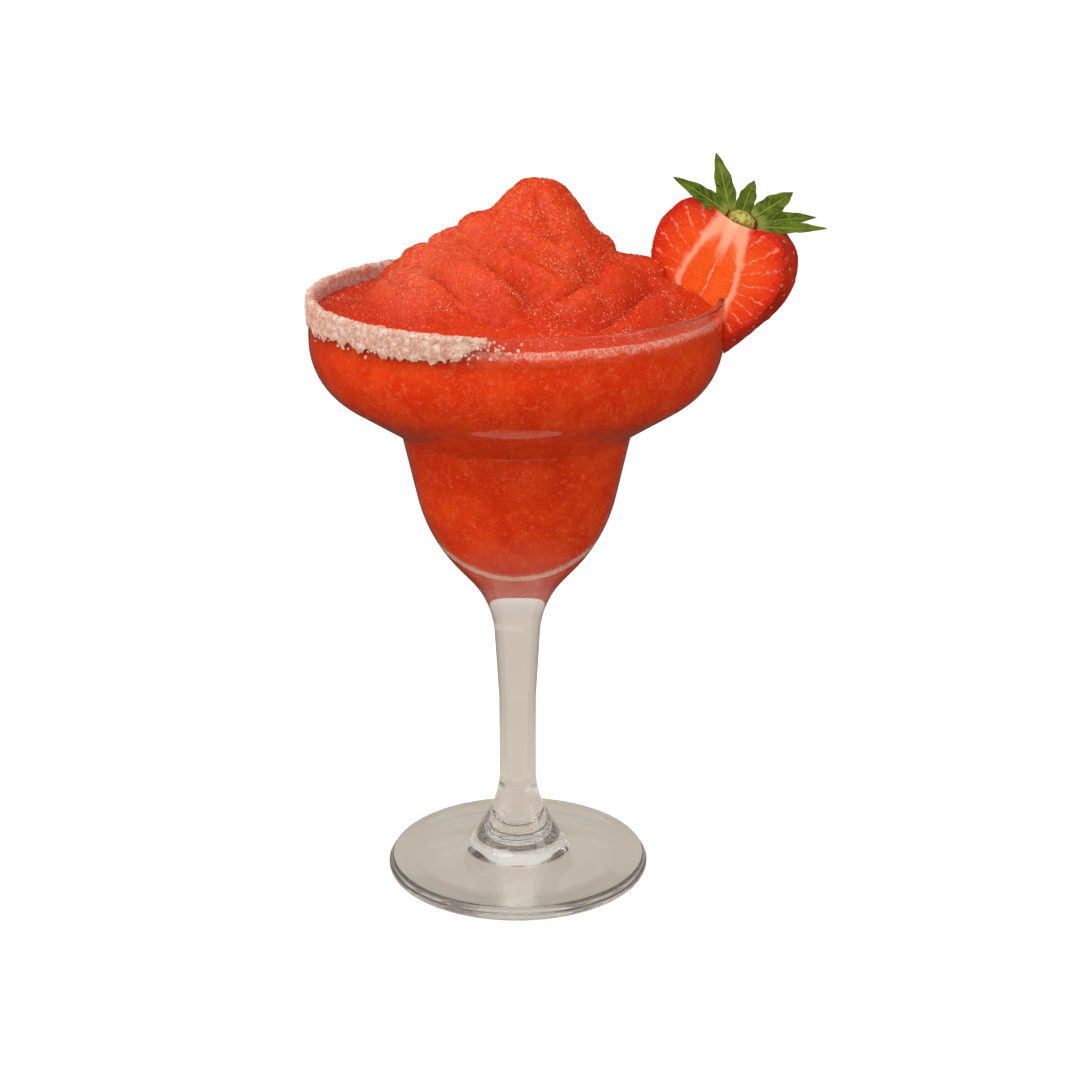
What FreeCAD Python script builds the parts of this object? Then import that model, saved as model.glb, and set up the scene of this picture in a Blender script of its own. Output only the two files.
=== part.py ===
import FreeCAD, Part
import math
import os
from types import SimpleNamespace

import Sketcher

# A frozen drink heaped in a stepped stem glass, with half a strawberry on the rim and a salt crust.
# Millimetres. The origin is the middle of the foot's underside, +Z is up, the berry sits towards +X
# and the berry's cut face looks towards -Y.

values = {
    # the foot, from the ground up
    "foot_radius": 37.5,
    "foot_thickness": 4.0,
    "foot_bead_height": 2.6,
    "foot_lip_inset": 0.8,
    "foot_edge_round": 1.7,
    "foot_bead_round": 0.6,
    "foot_lip_round": 1.0,
    "recess_radius": 27.0,
    "recess_depth": 1.6,
    "foot_rise": 2.9,
    "flare_radius": 13.6,
    "flare_height": 16.3,
    "flare_foot_round": 6.5,
    "flare_top_round": 26.0,
    # the stem
    "stem_radius": 5.2,
    "stem_length": 28.8,
    "taper_radius": 6.94,
    "taper_length": 29.3,
    # the narrow cup over the stem
    "cup_base_round": 27.0,
    "cone_radius": 24.94,
    "cone_height": 20.1,
    "cup_wall_round": 45.0,
    "cup_radius": 31.7,
    "cup_height": 30.1,
    "ledge_round": 2.3,
    # the wide bowl over the ledge
    "bowl_rise": 15.4,
    "bowl_round": 19.0,
    "rim_radius": 56.0,
    "bowl_wall_height": 22.5,
    # what is common to the glass's walls
    "glass_wall": 1.6,
    "rim_round": 0.7,
    "floor_reach": 17.5,
    "floor_height": 88.5,
    # the frozen drink
    "fill_drop": 3.7,
    "dome_rise": 14.5,
    "peak_rise": 18.5,
    "peak_spread": 12.5,
    "hollow_depth": 6.2,
    "lobe_blend": 2.0,
    # the salt crust
    "salt_thickness": 1.0,
    "salt_cap": 1.7,
    "salt_depth": 5.8,
    "salt_inner_depth": 4.8,
    "salt_seat": 0.05,
    "salt_start": 95.0,
    "salt_end": 263.0,
    "salt_end_fade": 9.0,
    # the strawberry
    "berry_radius": 19.9,
    "berry_shoulder": 9.5,
    "berry_length": 44.4,
    "berry_flank_inset": 1.3,
    "berry_flank_drop": 8.0,
    "berry_taper_inset": 10.3,
    "berry_taper_rise": 8.4,
    "berry_nose_inset": 15.4,
    "berry_nose_rise": 2.0,
    "berry_crest_inset": 2.7,
    "berry_crest_drop": 1.0,
    "berry_crown_inset": 7.9,
    "berry_crown_rise": 2.3,
    "berry_brow_inset": 13.4,
    "berry_brow_rise": 0.2,
    "dimple_depth": 2.2,
    "berry_reach": 3.9,
    "berry_lift": 19.0,
    "berry_tilt": 23.0,
    "berry_cut_offset": 5.5,
    "berry_cut_turn": 26.0,
    "slot_clearance": 0.1,
    "slot_arc": 55.0,
    # the calyx
    "cap_radius": 5.5,
    "cap_edge": 2.0,
    "cap_top": 3.3,
    "cap_depth": 3.0,
    "sepal_thickness": 0.7,
    "sepal_arch": 1.3,
    "sepal_root": 5.0,
    "sepal_root_width": 2.4,
    "sepal_trim": 1.0,
}

# Each sepal: bearing about the berry, pitch from root to tip, length, width and height of its root.
sepals = [
    (180, 12, 18.0, 6.6, 0.6),
    (140, 45, 16.5, 7.0, 1.0),
    (89, 27, 14.5, 6.6, 0.8),
    (46, 33, 15.0, 7.0, 1.9),
    (16, 26, 16.2, 5.6, 1.1),
    (-6, 18, 18.4, 5.4, 0.3),
]
sepal_sizes = ("bearing", "pitch", "length", "width", "lift")
for sepal_number, sepal in enumerate(sepals, 1):
    for sepal_size, number in zip(sepal_sizes, sepal):
        values[f"sepal_{sepal_number}_{sepal_size}"] = number


class Size:
    """A number that also knows the sheet expression that gives it."""

    def __init__(self, value, text):
        self.value = value
        self.text = text

    def joined(self, other, sign, value):
        return Size(value, f"({self.text} {sign} {text_of(other)})")

    def __add__(self, other):
        return self.joined(other, "+", self.value + value_of(other))

    def __sub__(self, other):
        return self.joined(other, "-", self.value - value_of(other))

    def __mul__(self, other):
        return self.joined(other, "*", self.value * value_of(other))

    def __truediv__(self, other):
        return self.joined(other, "/", self.value / value_of(other))

    def __neg__(self):
        return Size(-self.value, f"(-{self.text})")


def value_of(size):
    return size.value if isinstance(size, Size) else float(size)


def text_of(size):
    return size.text if isinstance(size, Size) else str(size)


def point(corner):
    return FreeCAD.Vector(value_of(corner[0]), value_of(corner[1]), 0)


doc = FreeCAD.newDocument("frozen_margarita")
sheet = doc.addObject("Spreadsheet::Sheet", "Sizes")
for row, (name, value) in enumerate(values.items(), start=1):
    sheet.set(f"A{row}", name)
    sheet.set(f"B{row}", str(value))
    sheet.setAlias(f"B{row}", name)
doc.recompute()
s = SimpleNamespace(**{name: Size(float(sheet.get(name)), f"Sizes.{name}") for name in values})


def bind(thing, prop, size):
    thing.setExpression(prop, text_of(size))


def new_sketch(body, name, role):
    sketch = body.newObject("Sketcher::SketchObject", name)
    plane = [feature for feature in body.Origin.OriginFeatures if feature.Role == role][0]
    sketch.AttachmentSupport = [(plane, "")]
    sketch.MapMode = "FlatFace"
    return sketch


def measure(sketch, kind, *places, size):
    """Adds a dimension and binds it to the sheet."""
    value = math.radians(value_of(size)) if kind == "Angle" else value_of(size)
    number = sketch.addConstraint(Sketcher.Constraint(kind, *places, value))
    name = f"{kind}{number}"
    sketch.renameConstraint(number, name)
    bind(sketch, f"Constraints.{name}", size)


def tie(sketch, edge, end, corner):
    """Ties one end of an edge to a corner given by the sheet."""
    for kind, axis, size in (("DistanceX", -2, corner[0]), ("DistanceY", -1, corner[1])):
        if not isinstance(size, Size) and size == 0:
            sketch.addConstraint(Sketcher.Constraint("PointOnObject", edge, end, axis))
        else:
            measure(sketch, kind, -1, 1, edge, end, size=size)


def join(sketch, first, first_end, second, second_end):
    sketch.addConstraint(Sketcher.Constraint("Coincident", first, first_end, second, second_end))


def add_polygon(sketch, corners):
    """A closed outline of straight edges with every corner tied to the sheet."""
    following = corners[1:] + corners[:1]
    edges = [
        sketch.addGeometry(Part.LineSegment(point(here), point(there)), False)
        for here, there in zip(corners, following)
    ]
    for number, edge in enumerate(edges):
        join(sketch, edges[number - 1], 2, edge, 1)
        tie(sketch, edge, 1, corners[number])
    return edges


def add_arc(sketch, start, towards, end):
    """An arc that leaves start in the direction towards. Returns its id, its two ends and its exit."""
    chord = end - start
    left = FreeCAD.Vector(-towards.y, towards.x, 0)
    bend = 2 * chord.dot(left) / chord.Length**2
    centre = start + left / bend
    radius = abs(1 / bend)
    first = math.atan2(start.y - centre.y, start.x - centre.x)
    last = math.atan2(end.y - centre.y, end.x - centre.x)
    circle = Part.Circle(centre, FreeCAD.Vector(0, 0, 1), radius)
    angles = (first, last) if bend > 0 else (last, first)
    edge = sketch.addGeometry(Part.ArcOfCircle(circle, *angles), False)
    exit_angle = 2 * math.atan2(chord.y, chord.x) - math.atan2(towards.y, towards.x)
    ends = (1, 2) if bend > 0 else (2, 1)
    return edge, ends, FreeCAD.Vector(math.cos(exit_angle), math.sin(exit_angle), 0)


def add_arcs(sketch, corners, towards):
    """A chain of arcs, each tangent to the one before. The first leaves straight up or down."""
    chain = []
    for here, there in zip(corners, corners[1:]):
        edge, ends, towards = add_arc(sketch, point(here), towards, point(there))
        if chain:
            before, before_ends = chain[-1]
            sketch.addConstraint(Sketcher.Constraint("Tangent", before, before_ends[1], edge, ends[0]))
        else:
            tie(sketch, edge, ends[0], here)
            sketch.addConstraint(Sketcher.Constraint("Horizontal", edge, 3, edge, ends[0]))
        tie(sketch, edge, ends[1], there)
        chain.append((edge, ends))
    return chain


def turn(body, kind, name, sketch):
    """A full Revolution or Groove of the sketch about the body's own vertical axis."""
    feature = body.newObject(f"PartDesign::{kind}", name)
    feature.Profile = sketch
    feature.ReferenceAxis = (sketch, ["V_Axis"])
    feature.Angle = 360
    doc.recompute()
    return feature


def round_ring(body, name, base, corner, radius):
    """Rounds the circular edge that runs through the corner (radius, height)."""
    place = FreeCAD.Vector(value_of(corner[0]), 0, value_of(corner[1]))
    near = 0.01
    rings = [
        f"Edge{number}"
        for number, edge in enumerate(base.Shape.Edges, start=1)
        if not edge.Degenerated
        and isinstance(edge.Curve, Part.Circle)
        and abs(edge.Curve.Radius - place.x) < near
        and abs(edge.Curve.Center.z - place.z) < near
    ]
    fillet = body.newObject("PartDesign::Fillet", name)
    fillet.Base = (base, rings)
    bind(fillet, "Radius", radius)
    doc.recompute()
    return fillet


# ---- heights of the glass's corners, from the ground up

flare_foot = s.foot_thickness + s.foot_rise
stem_foot = flare_foot + s.flare_height
taper_foot = stem_foot + s.stem_length
cup_foot = taper_foot + s.taper_length
cone_top = cup_foot + s.cone_height
ledge = cone_top + s.cup_height
bowl_corner = ledge + s.bowl_rise
rim = bowl_corner + s.bowl_wall_height
fill_level = rim - s.fill_drop
lip_radius = s.foot_radius - s.foot_lip_inset
inner_rim_radius = s.rim_radius - s.glass_wall
floor_radius = s.floor_reach - s.glass_wall

cup_corners = [
    (s.taper_radius, cup_foot),
    (s.cone_radius, cone_top),
    (s.cup_radius, ledge),
    (s.rim_radius, bowl_corner),
    (s.rim_radius, rim),
]


def inset(corners, gap):
    """The corners of a run of lines moved sideways by gap, towards the axis."""
    places = [point(corner) for corner in corners]
    lines = [(b - a).normalize() for a, b in zip(places, places[1:])]
    moved = [places[0] + FreeCAD.Vector(-lines[0].y, lines[0].x, 0) * gap]
    for place, before, after in zip(places[1:-1], lines, lines[1:]):
        normal = FreeCAD.Vector(-before.y - after.y, before.x + after.x, 0)
        moved.append(place + normal * (gap / (1 + before.dot(after))))
    moved.append(places[-1] + FreeCAD.Vector(-lines[-1].y, lines[-1].x, 0) * gap)
    return moved


def add_inside(body, name, top):
    """The outline of the room inside the glass up to the height top, one wall inside the outer lines."""
    sketch = new_sketch(body, name, "XZ_Plane")
    outer = []
    for here, there in zip(cup_corners, cup_corners[1:]):
        line = sketch.addGeometry(Part.LineSegment(point(here), point(there)), True)
        tie(sketch, line, 1, here)
        tie(sketch, line, 2, there)
        outer.append(line)
    corners = inset(cup_corners, value_of(s.glass_wall))
    share = (value_of(floor_radius) - corners[0].x) / (corners[1].x - corners[0].x)
    corners[0] = corners[0] + (corners[1] - corners[0]) * share
    corners[-1] = FreeCAD.Vector(corners[-1].x, value_of(top), 0)
    walls = [
        sketch.addGeometry(Part.LineSegment(here, there), False)
        for here, there in zip(corners, corners[1:])
    ]
    for wall, line in zip(walls, outer):
        sketch.addConstraint(Sketcher.Constraint("Parallel", wall, line))
        measure(sketch, "Distance", wall, 2, line, size=s.glass_wall)
    for before, after in zip(walls, walls[1:]):
        join(sketch, before, 2, after, 1)
    measure(sketch, "DistanceX", -1, 1, walls[0], 1, size=floor_radius)
    measure(sketch, "DistanceY", -1, 1, walls[-1], 2, size=top)
    on_axis = FreeCAD.Vector(0, value_of(top), 0)
    bottom = FreeCAD.Vector(0, value_of(s.floor_height), 0)
    lid = sketch.addGeometry(Part.LineSegment(corners[-1], on_axis), False)
    axis = sketch.addGeometry(Part.LineSegment(on_axis, bottom), False)
    join(sketch, walls[-1], 2, lid, 1)
    join(sketch, lid, 2, axis, 1)
    sketch.addConstraint(Sketcher.Constraint("Horizontal", lid))
    sketch.addConstraint(Sketcher.Constraint("PointOnObject", axis, 1, -2))
    sketch.addConstraint(Sketcher.Constraint("PointOnObject", axis, 2, -2))
    measure(sketch, "DistanceY", -1, 1, axis, 2, size=s.floor_height)
    dish, ends, _ = add_arc(sketch, bottom, FreeCAD.Vector(1, 0, 0), corners[0])
    join(sketch, axis, 2, dish, ends[0])
    join(sketch, dish, ends[1], walls[0], 1)
    sketch.addConstraint(Sketcher.Constraint("PointOnObject", dish, 3, -2))
    doc.recompute()
    return sketch


def round_inside(body, name, feature):
    """Rounds the inner corners about the same centres as the outer ones."""
    corners = [(place.x, place.y) for place in inset(cup_corners, value_of(s.glass_wall))]
    radii = (s.cup_wall_round - s.glass_wall, s.ledge_round + s.glass_wall, s.bowl_round - s.glass_wall)
    for number, (corner, radius) in enumerate(zip(corners[1:4], radii)):
        feature = round_ring(body, f"{name}_{number}", feature, corner, radius)
    return feature


def make_glass():
    body = doc.addObject("PartDesign::Body", "glass_body")
    sketch = new_sketch(body, "glass_outline", "XZ_Plane")
    foot = [
        (0, s.recess_depth),
        (s.recess_radius, 0),
        (s.foot_radius, 0),
        (s.foot_radius, s.foot_bead_height),
        (lip_radius, s.foot_bead_height),
        (lip_radius, s.foot_thickness),
        (s.flare_radius, flare_foot),
        (s.stem_radius, stem_foot),
        (s.stem_radius, taper_foot),
    ]
    add_polygon(sketch, foot + cup_corners + [(0, rim)])
    turn(body, "Revolution", "glass_solid", sketch)
    inside = add_inside(body, "glass_inside", rim + s.glass_wall)
    groove = turn(body, "Groove", "glass_room", inside)
    solid = round_inside(body, "inner_round", groove)
    rounds = (
        (foot[2], s.foot_edge_round),
        (foot[3], s.foot_bead_round),
        (foot[5], s.foot_lip_round),
        (foot[6], s.flare_foot_round),
        (foot[7], s.flare_top_round),
        (cup_corners[0], s.cup_base_round),
        (cup_corners[1], s.cup_wall_round),
        (cup_corners[2], s.ledge_round),
        (cup_corners[3], s.bowl_round),
    )
    for number, (corner, radius) in enumerate(rounds):
        solid = round_ring(body, f"outer_round_{number}", solid, corner, radius)
    solid = round_ring(body, "rim_outer_round", solid, (s.rim_radius, rim), s.rim_round)
    round_ring(body, "rim_inner_round", solid, (inner_rim_radius, rim), s.rim_round)
    return body


# ---- the frozen drink

# Lobes of slush: bearing in degrees, reach and half sizes as shares of the inner rim radius, the
# heading of the long half size, and the height of the lobe's foot and of its rise over the fill level.
lobes = [
    (-72, 0.26, 0.42, 0.25, 100, 9.0, 10.5),
    (-115, 0.48, 0.40, 0.19, 118, 6.0, 10.5),
    (-138, 0.60, 0.36, 0.27, 112, 2.5, 11.5),
    (-51, 0.40, 0.065, 0.060, 0, 15.0, 5.2),
    (-40, 0.61, 0.085, 0.080, 30, 8.0, 6.0),
    (-64, 0.73, 0.095, 0.065, 20, 6.0, 4.6),
    (-40, 0.80, 0.26, 0.13, 52, 2.0, 6.2),
    (1, 0.58, 0.13, 0.11, 0, 8.0, 6.5),
    (150, 0.14, 0.15, 0.13, 40, 22.0, 5.5),
    (168, 0.28, 0.15, 0.13, 60, 17.0, 5.5),
    (176, 0.42, 0.17, 0.14, 80, 12.0, 6.5),
    (22, 0.36, 0.15, 0.12, -40, 15.0, 6.5),
    (140, 0.52, 0.32, 0.19, 20, 4.5, 9.5),
    (95, 0.52, 0.34, 0.17, -12, 5.0, 10.0),
    (52, 0.62, 0.28, 0.16, -50, 2.5, 9.0),
    (-92, 0.84, 0.16, 0.07, 8, 0.8, 3.4),
]
peak_place = (0.11, 0.03)
hollow_place = (-0.90, 0.0)
hollow_reach = (0.17, 0.34)
dome_power = 2.4


def blend(first, second):
    """The higher of two heights, with the crease between them softened."""
    softness = s.lobe_blend.value
    overlap = max(softness - abs(first - second), 0)
    return max(first, second) + overlap**2 / (4 * softness)


def heap_height(east, north):
    """Height of the slush over the fill level at a place given in inner rim radii."""
    reach = math.hypot(east, north)
    spread = s.peak_spread.value / inner_rim_radius.value
    height = s.dome_rise.value * (1 - min(reach, 1.0) ** dome_power)
    from_peak = ((east - peak_place[0]) ** 2 + (north - peak_place[1]) ** 2) / spread**2
    height += s.peak_rise.value * math.exp(-from_peak)
    east_share = (east - hollow_place[0]) / hollow_reach[0]
    north_share = (north - hollow_place[1]) / hollow_reach[1]
    height -= s.hollow_depth.value * math.exp(-(east_share**2) - north_share**2)
    for bearing, out, long_half, short_half, heading, foot, rise in lobes:
        middle = (out * math.cos(math.radians(bearing)), out * math.sin(math.radians(bearing)))
        along = math.radians(heading)
        east_part = east - middle[0]
        north_part = north - middle[1]
        lengthwise = (east_part * math.cos(along) + north_part * math.sin(along)) / long_half
        sideways = (north_part * math.cos(along) - east_part * math.sin(along)) / short_half
        inside = 1 - lengthwise**2 - sideways**2
        if inside > 0:
            height = blend(height, foot + rise * math.sqrt(inside))
    return height


def make_heap():
    """The ground under the slush's uneven top, as one block down to below the glass's floor."""
    half_steps = 20
    overreach = 1.04
    radius = value_of(inner_rim_radius)
    level = value_of(fill_level)
    step = overreach * radius / half_steps
    offsets = [number * step for number in range(-half_steps, half_steps + 1)]
    grid = [
        [
            FreeCAD.Vector(east, north, level + heap_height(east / radius, north / radius))
            for north in offsets
        ]
        for east in offsets
    ]
    surface = Part.BSplineSurface()
    surface.interpolate(grid)
    block = doc.addObject("Part::Feature", "heap_block")
    depth = level - value_of(s.floor_height) + value_of(s.peak_rise) + value_of(s.dome_rise)
    block.Shape = surface.toShape().extrude(FreeCAD.Vector(0, 0, -depth))
    return block


def make_drink(glass_fillers):
    body = doc.addObject("PartDesign::Body", "drink_body")
    top = fill_level + s.dome_rise + s.peak_rise
    sketch = add_inside(body, "drink_outline", top)
    solid = turn(body, "Revolution", "drink_solid", sketch)
    round_inside(body, "drink_round", solid)
    heaped = doc.addObject("Part::Common", "drink_heaped")
    heaped.Base = body
    heaped.Tool = make_heap()
    doc.recompute()
    return cut(heaped, glass_fillers, "frozen_drink")


def cut(base, tools, name):
    """What is left of base once every tool has been taken away, one after another."""
    for number, tool in enumerate(tools):
        left = doc.addObject("Part::Cut", f"{name}_cut_{number}")
        left.Base = base
        left.Tool = tool
        doc.recompute()
        base = left
    return base


# ---- the salt crust on the rim


def ripple(angle, waves):
    """A sum of uneven waves about zero, where each wave is its height, its count and its phase."""
    turnings = math.radians(angle)
    return sum(size * math.sin(count * turnings + phase) for size, count, phase in waves)


# The crust's waves, each with its height, its count round the rim and its phase.
skin_waves = ((0.16, 23, 0.3), (0.12, 41, 1.9))
cap_waves = ((0.2, 7, 0.5), (0.16, 19, 2.2), (0.1, 37, 0.9))
outer_waves = ((0.1, 9, 1.2), (0.1, 27, 0.4), (0.06, 47, 2.0))
inner_waves = ((0.1, 11, 2.7), (0.07, 31, 1.1))


def salt_section(angle):
    """The crust's closed section at one bearing: a cap on the rim with a leg down each face."""
    ends = min(angle - s.salt_start.value, s.salt_end.value - angle) / s.salt_end_fade.value
    fade = 0.35 + 0.65 * min(ends, 1) ** 0.5
    skin = s.salt_thickness.value * (1 + ripple(angle, skin_waves)) * fade
    cap = s.salt_cap.value * (1 + ripple(angle, cap_waves)) * fade
    outer = s.salt_depth.value * (1 + ripple(angle, outer_waves)) * fade
    inner = s.salt_inner_depth.value * (1 + ripple(angle, inner_waves)) * fade
    seat = s.salt_seat.value
    outside = s.rim_radius.value + seat
    inside = inner_rim_radius.value - seat
    shape = [
        (outside, seat),
        (outside, -outer),
        (outside + 0.75 * skin, -0.88 * outer),
        (outside + skin, -0.45 * outer),
        (outside + 0.95 * skin, 0.2 * cap),
        (outside + 0.2 * skin, 0.8 * cap),
        (0.5 * (outside + inside), cap),
        (inside - 0.2 * skin, 0.85 * cap),
        (inside - 0.95 * skin, 0.2 * cap),
        (inside - skin, -0.5 * inner),
        (inside - 0.7 * skin, -0.88 * inner),
        (inside, -inner),
        (inside, seat),
    ]
    along = math.radians(angle)
    level = value_of(rim)
    return [
        FreeCAD.Vector(radius * math.cos(along), radius * math.sin(along), level + up)
        for radius, up in shape
    ]


def facet(*corners):
    return Part.Face(Part.makePolygon([*corners, corners[0]]))


def make_salt():
    """The crust as a strip of facets between one section and the next, shut at both ends."""
    steps = 60
    start = s.salt_start.value
    span = s.salt_end.value - start
    sections = [salt_section(start + span * number / steps) for number in range(steps + 1)]
    faces = [facet(*sections[0]), facet(*sections[-1])]
    for here, there in zip(sections, sections[1:]):
        for first, second, third, fourth in zip(here, here[1:] + here[:1], there[1:] + there[:1], there):
            faces.append(facet(first, second, third))
            faces.append(facet(first, third, fourth))
    shell = Part.makeShell(faces)
    crust = doc.addObject("Part::Feature", "rim_salt")
    solid = Part.makeSolid(shell)
    crust.Shape = solid if solid.Volume > 0 else solid.reversed()
    return crust


def make_salt_room():
    """The part of a ring that the crust's inner leg takes up, with room for its uneven skin."""
    span = s.salt_end - s.salt_start
    height = s.salt_inner_depth * 1.2
    skin = s.salt_thickness * 1.3 + s.salt_seat
    rings = []
    sides = (("salt_room_outer", inner_rim_radius), ("salt_room_inner", inner_rim_radius - skin))
    for name, radius in sides:
        ring = doc.addObject("Part::Cylinder", name)
        bind(ring, "Radius", radius)
        bind(ring, "Height", height)
        bind(ring, "Angle", span)
        place = f"vector(0; 0; {text_of(rim - height)})"
        spin = f"rotation(vector(0; 0; 1); {text_of(s.salt_start)})"
        ring.setExpression("Placement", f"placement({place}; {spin})")
        rings.append(ring)
    return cut(rings[0], rings[1:], "salt_room")


# ---- the strawberry


def make_slot():
    """What the glass's wall takes out of the berry, a little wider than the wall."""
    body = doc.addObject("PartDesign::Body", "slot_body")
    sketch = new_sketch(body, "slot_outline", "XZ_Plane")
    across = s.rim_radius - s.cup_radius
    lean = math.degrees(math.atan2(s.bowl_rise.value, across.value))
    lean_text = f"atan2({text_of(s.bowl_rise)}; {text_of(across)})"
    half_turn = Size(math.tan(math.radians(45 - lean / 2)), f"tan(45 deg - {lean_text} / 2)")
    middle = (s.rim_radius - s.bowl_round, bowl_corner + s.bowl_round * half_turn)
    faces = (s.bowl_round - s.glass_wall - s.slot_clearance, s.bowl_round + s.slot_clearance)
    low_turn = math.radians(-s.slot_arc.value)
    top = rim + s.slot_clearance
    up_lines = []
    arcs = []
    for radius in faces:
        reach = value_of(radius)
        centre = point(middle)
        circle = Part.Circle(centre, FreeCAD.Vector(0, 0, 1), reach)
        arc = sketch.addGeometry(Part.ArcOfCircle(circle, low_turn, 0), False)
        start = FreeCAD.Vector(centre.x + reach, centre.y, 0)
        end = FreeCAD.Vector(centre.x + reach, value_of(top), 0)
        line = sketch.addGeometry(Part.LineSegment(start, end), False)
        tie(sketch, arc, 3, middle)
        measure(sketch, "Radius", arc, size=radius)
        sketch.addConstraint(Sketcher.Constraint("Tangent", arc, 2, line, 1))
        sketch.addConstraint(Sketcher.Constraint("Vertical", line))
        measure(sketch, "DistanceY", -1, 1, line, 2, size=top)
        up_lines.append(line)
        arcs.append(arc)
    ends = [sketch.getPoint(line, 2) for line in up_lines]
    lid = sketch.addGeometry(Part.LineSegment(*ends), False)
    join(sketch, up_lines[0], 2, lid, 1)
    join(sketch, up_lines[1], 2, lid, 2)
    feet = [sketch.getPoint(arc, 1) for arc in arcs]
    base = sketch.addGeometry(Part.LineSegment(*feet), False)
    join(sketch, arcs[0], 1, base, 1)
    join(sketch, arcs[1], 1, base, 2)
    sketch.addConstraint(Sketcher.Constraint("PointOnObject", arcs[0], 3, base))
    measure(sketch, "Angle", base, size=-s.slot_arc)
    turn(body, "Revolution", "slot_solid", sketch)
    body.setExpression("Placement", "placement(vector(0; 0; 0); rotation(vector(0; 0; 1); 180))")
    doc.recompute()
    return body


def make_berry():
    """A whole berry of revolution with its front, towards its own +X, sliced off flat."""
    body = doc.addObject("PartDesign::Body", "berry_body")
    sketch = new_sketch(body, "berry_outline", "XZ_Plane")
    waist = (s.berry_radius, -s.berry_shoulder)
    tip = (0, -s.berry_length)
    dimple = (0, -s.dimple_depth)
    lower = [
        waist,
        (s.berry_radius - s.berry_flank_inset, -(s.berry_shoulder + s.berry_flank_drop)),
        (s.berry_radius - s.berry_taper_inset, -(s.berry_length - s.berry_taper_rise)),
        (s.berry_radius - s.berry_nose_inset, -(s.berry_length - s.berry_nose_rise)),
        tip,
    ]
    upper = [
        waist,
        (s.berry_radius - s.berry_crest_inset, -s.berry_crest_drop),
        (s.berry_radius - s.berry_crown_inset, s.berry_crown_rise),
        (s.berry_radius - s.berry_brow_inset, s.berry_brow_rise),
        dimple,
    ]
    down = add_arcs(sketch, lower, FreeCAD.Vector(0, -1, 0))
    up = add_arcs(sketch, upper, FreeCAD.Vector(0, 1, 0))
    axis = sketch.addGeometry(Part.LineSegment(point(tip), point(dimple)), False)
    join(sketch, down[-1][0], down[-1][1][1], axis, 1)
    join(sketch, up[-1][0], up[-1][1][1], axis, 2)
    turn(body, "Revolution", "berry_whole", sketch)
    front = new_sketch(body, "berry_slice", "XY_Plane")
    far = s.berry_radius * 2
    corners = [(s.berry_cut_offset, -far), (far, -far), (far, far), (s.berry_cut_offset, far)]
    add_polygon(front, corners)
    pocket = body.newObject("PartDesign::Pocket", "berry_front")
    pocket.Profile = front
    pocket.Type = 1
    pocket.Midplane = True
    place = f"vector({text_of(s.rim_radius + s.berry_reach)}; 0; {text_of(rim + s.berry_lift)})"
    tilt = f"rotation(vector(0; 1; 0); {text_of(s.berry_tilt)})"
    spin = f"rotation(vector(0; 0; 1); {text_of(-s.berry_cut_turn - 90)})"
    spun = f"placement(vector(0; 0; 0); {spin})"
    body.setExpression("Placement", f"placement({place}; {tilt}) * {spun}")
    doc.recompute()
    return body


# ---- the calyx


def make_cap(berry, strawberry):
    """The calyx's middle, a low dome that fills the berry's dimple."""
    body = doc.addObject("PartDesign::Body", "cap_body")
    sketch = new_sketch(body, "cap_outline", "XZ_Plane")
    depth = -s.cap_depth
    edge = (s.cap_radius, s.cap_edge)
    crown = (0, s.cap_top)
    corners = [(0, depth), (s.cap_radius, depth), edge]
    lines = [
        sketch.addGeometry(Part.LineSegment(point(here), point(there)), False)
        for here, there in zip([crown] + corners, corners)
    ]
    for number, line in enumerate(lines):
        tie(sketch, line, 2, corners[number])
        if number:
            join(sketch, lines[number - 1], 2, line, 1)
    dome, ends, _ = add_arc(sketch, point(crown), FreeCAD.Vector(1, 0, 0), point(edge))
    join(sketch, lines[-1], 2, dome, ends[1])
    join(sketch, lines[0], 1, dome, ends[0])
    tie(sketch, dome, ends[0], crown)
    sketch.addConstraint(Sketcher.Constraint("PointOnObject", dome, 3, -2))
    turn(body, "Revolution", "cap_solid", sketch)
    body.setExpression("Placement", f"{berry.Name}.Placement")
    doc.recompute()
    return cut(body, [strawberry], "calyx_cap")


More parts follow.
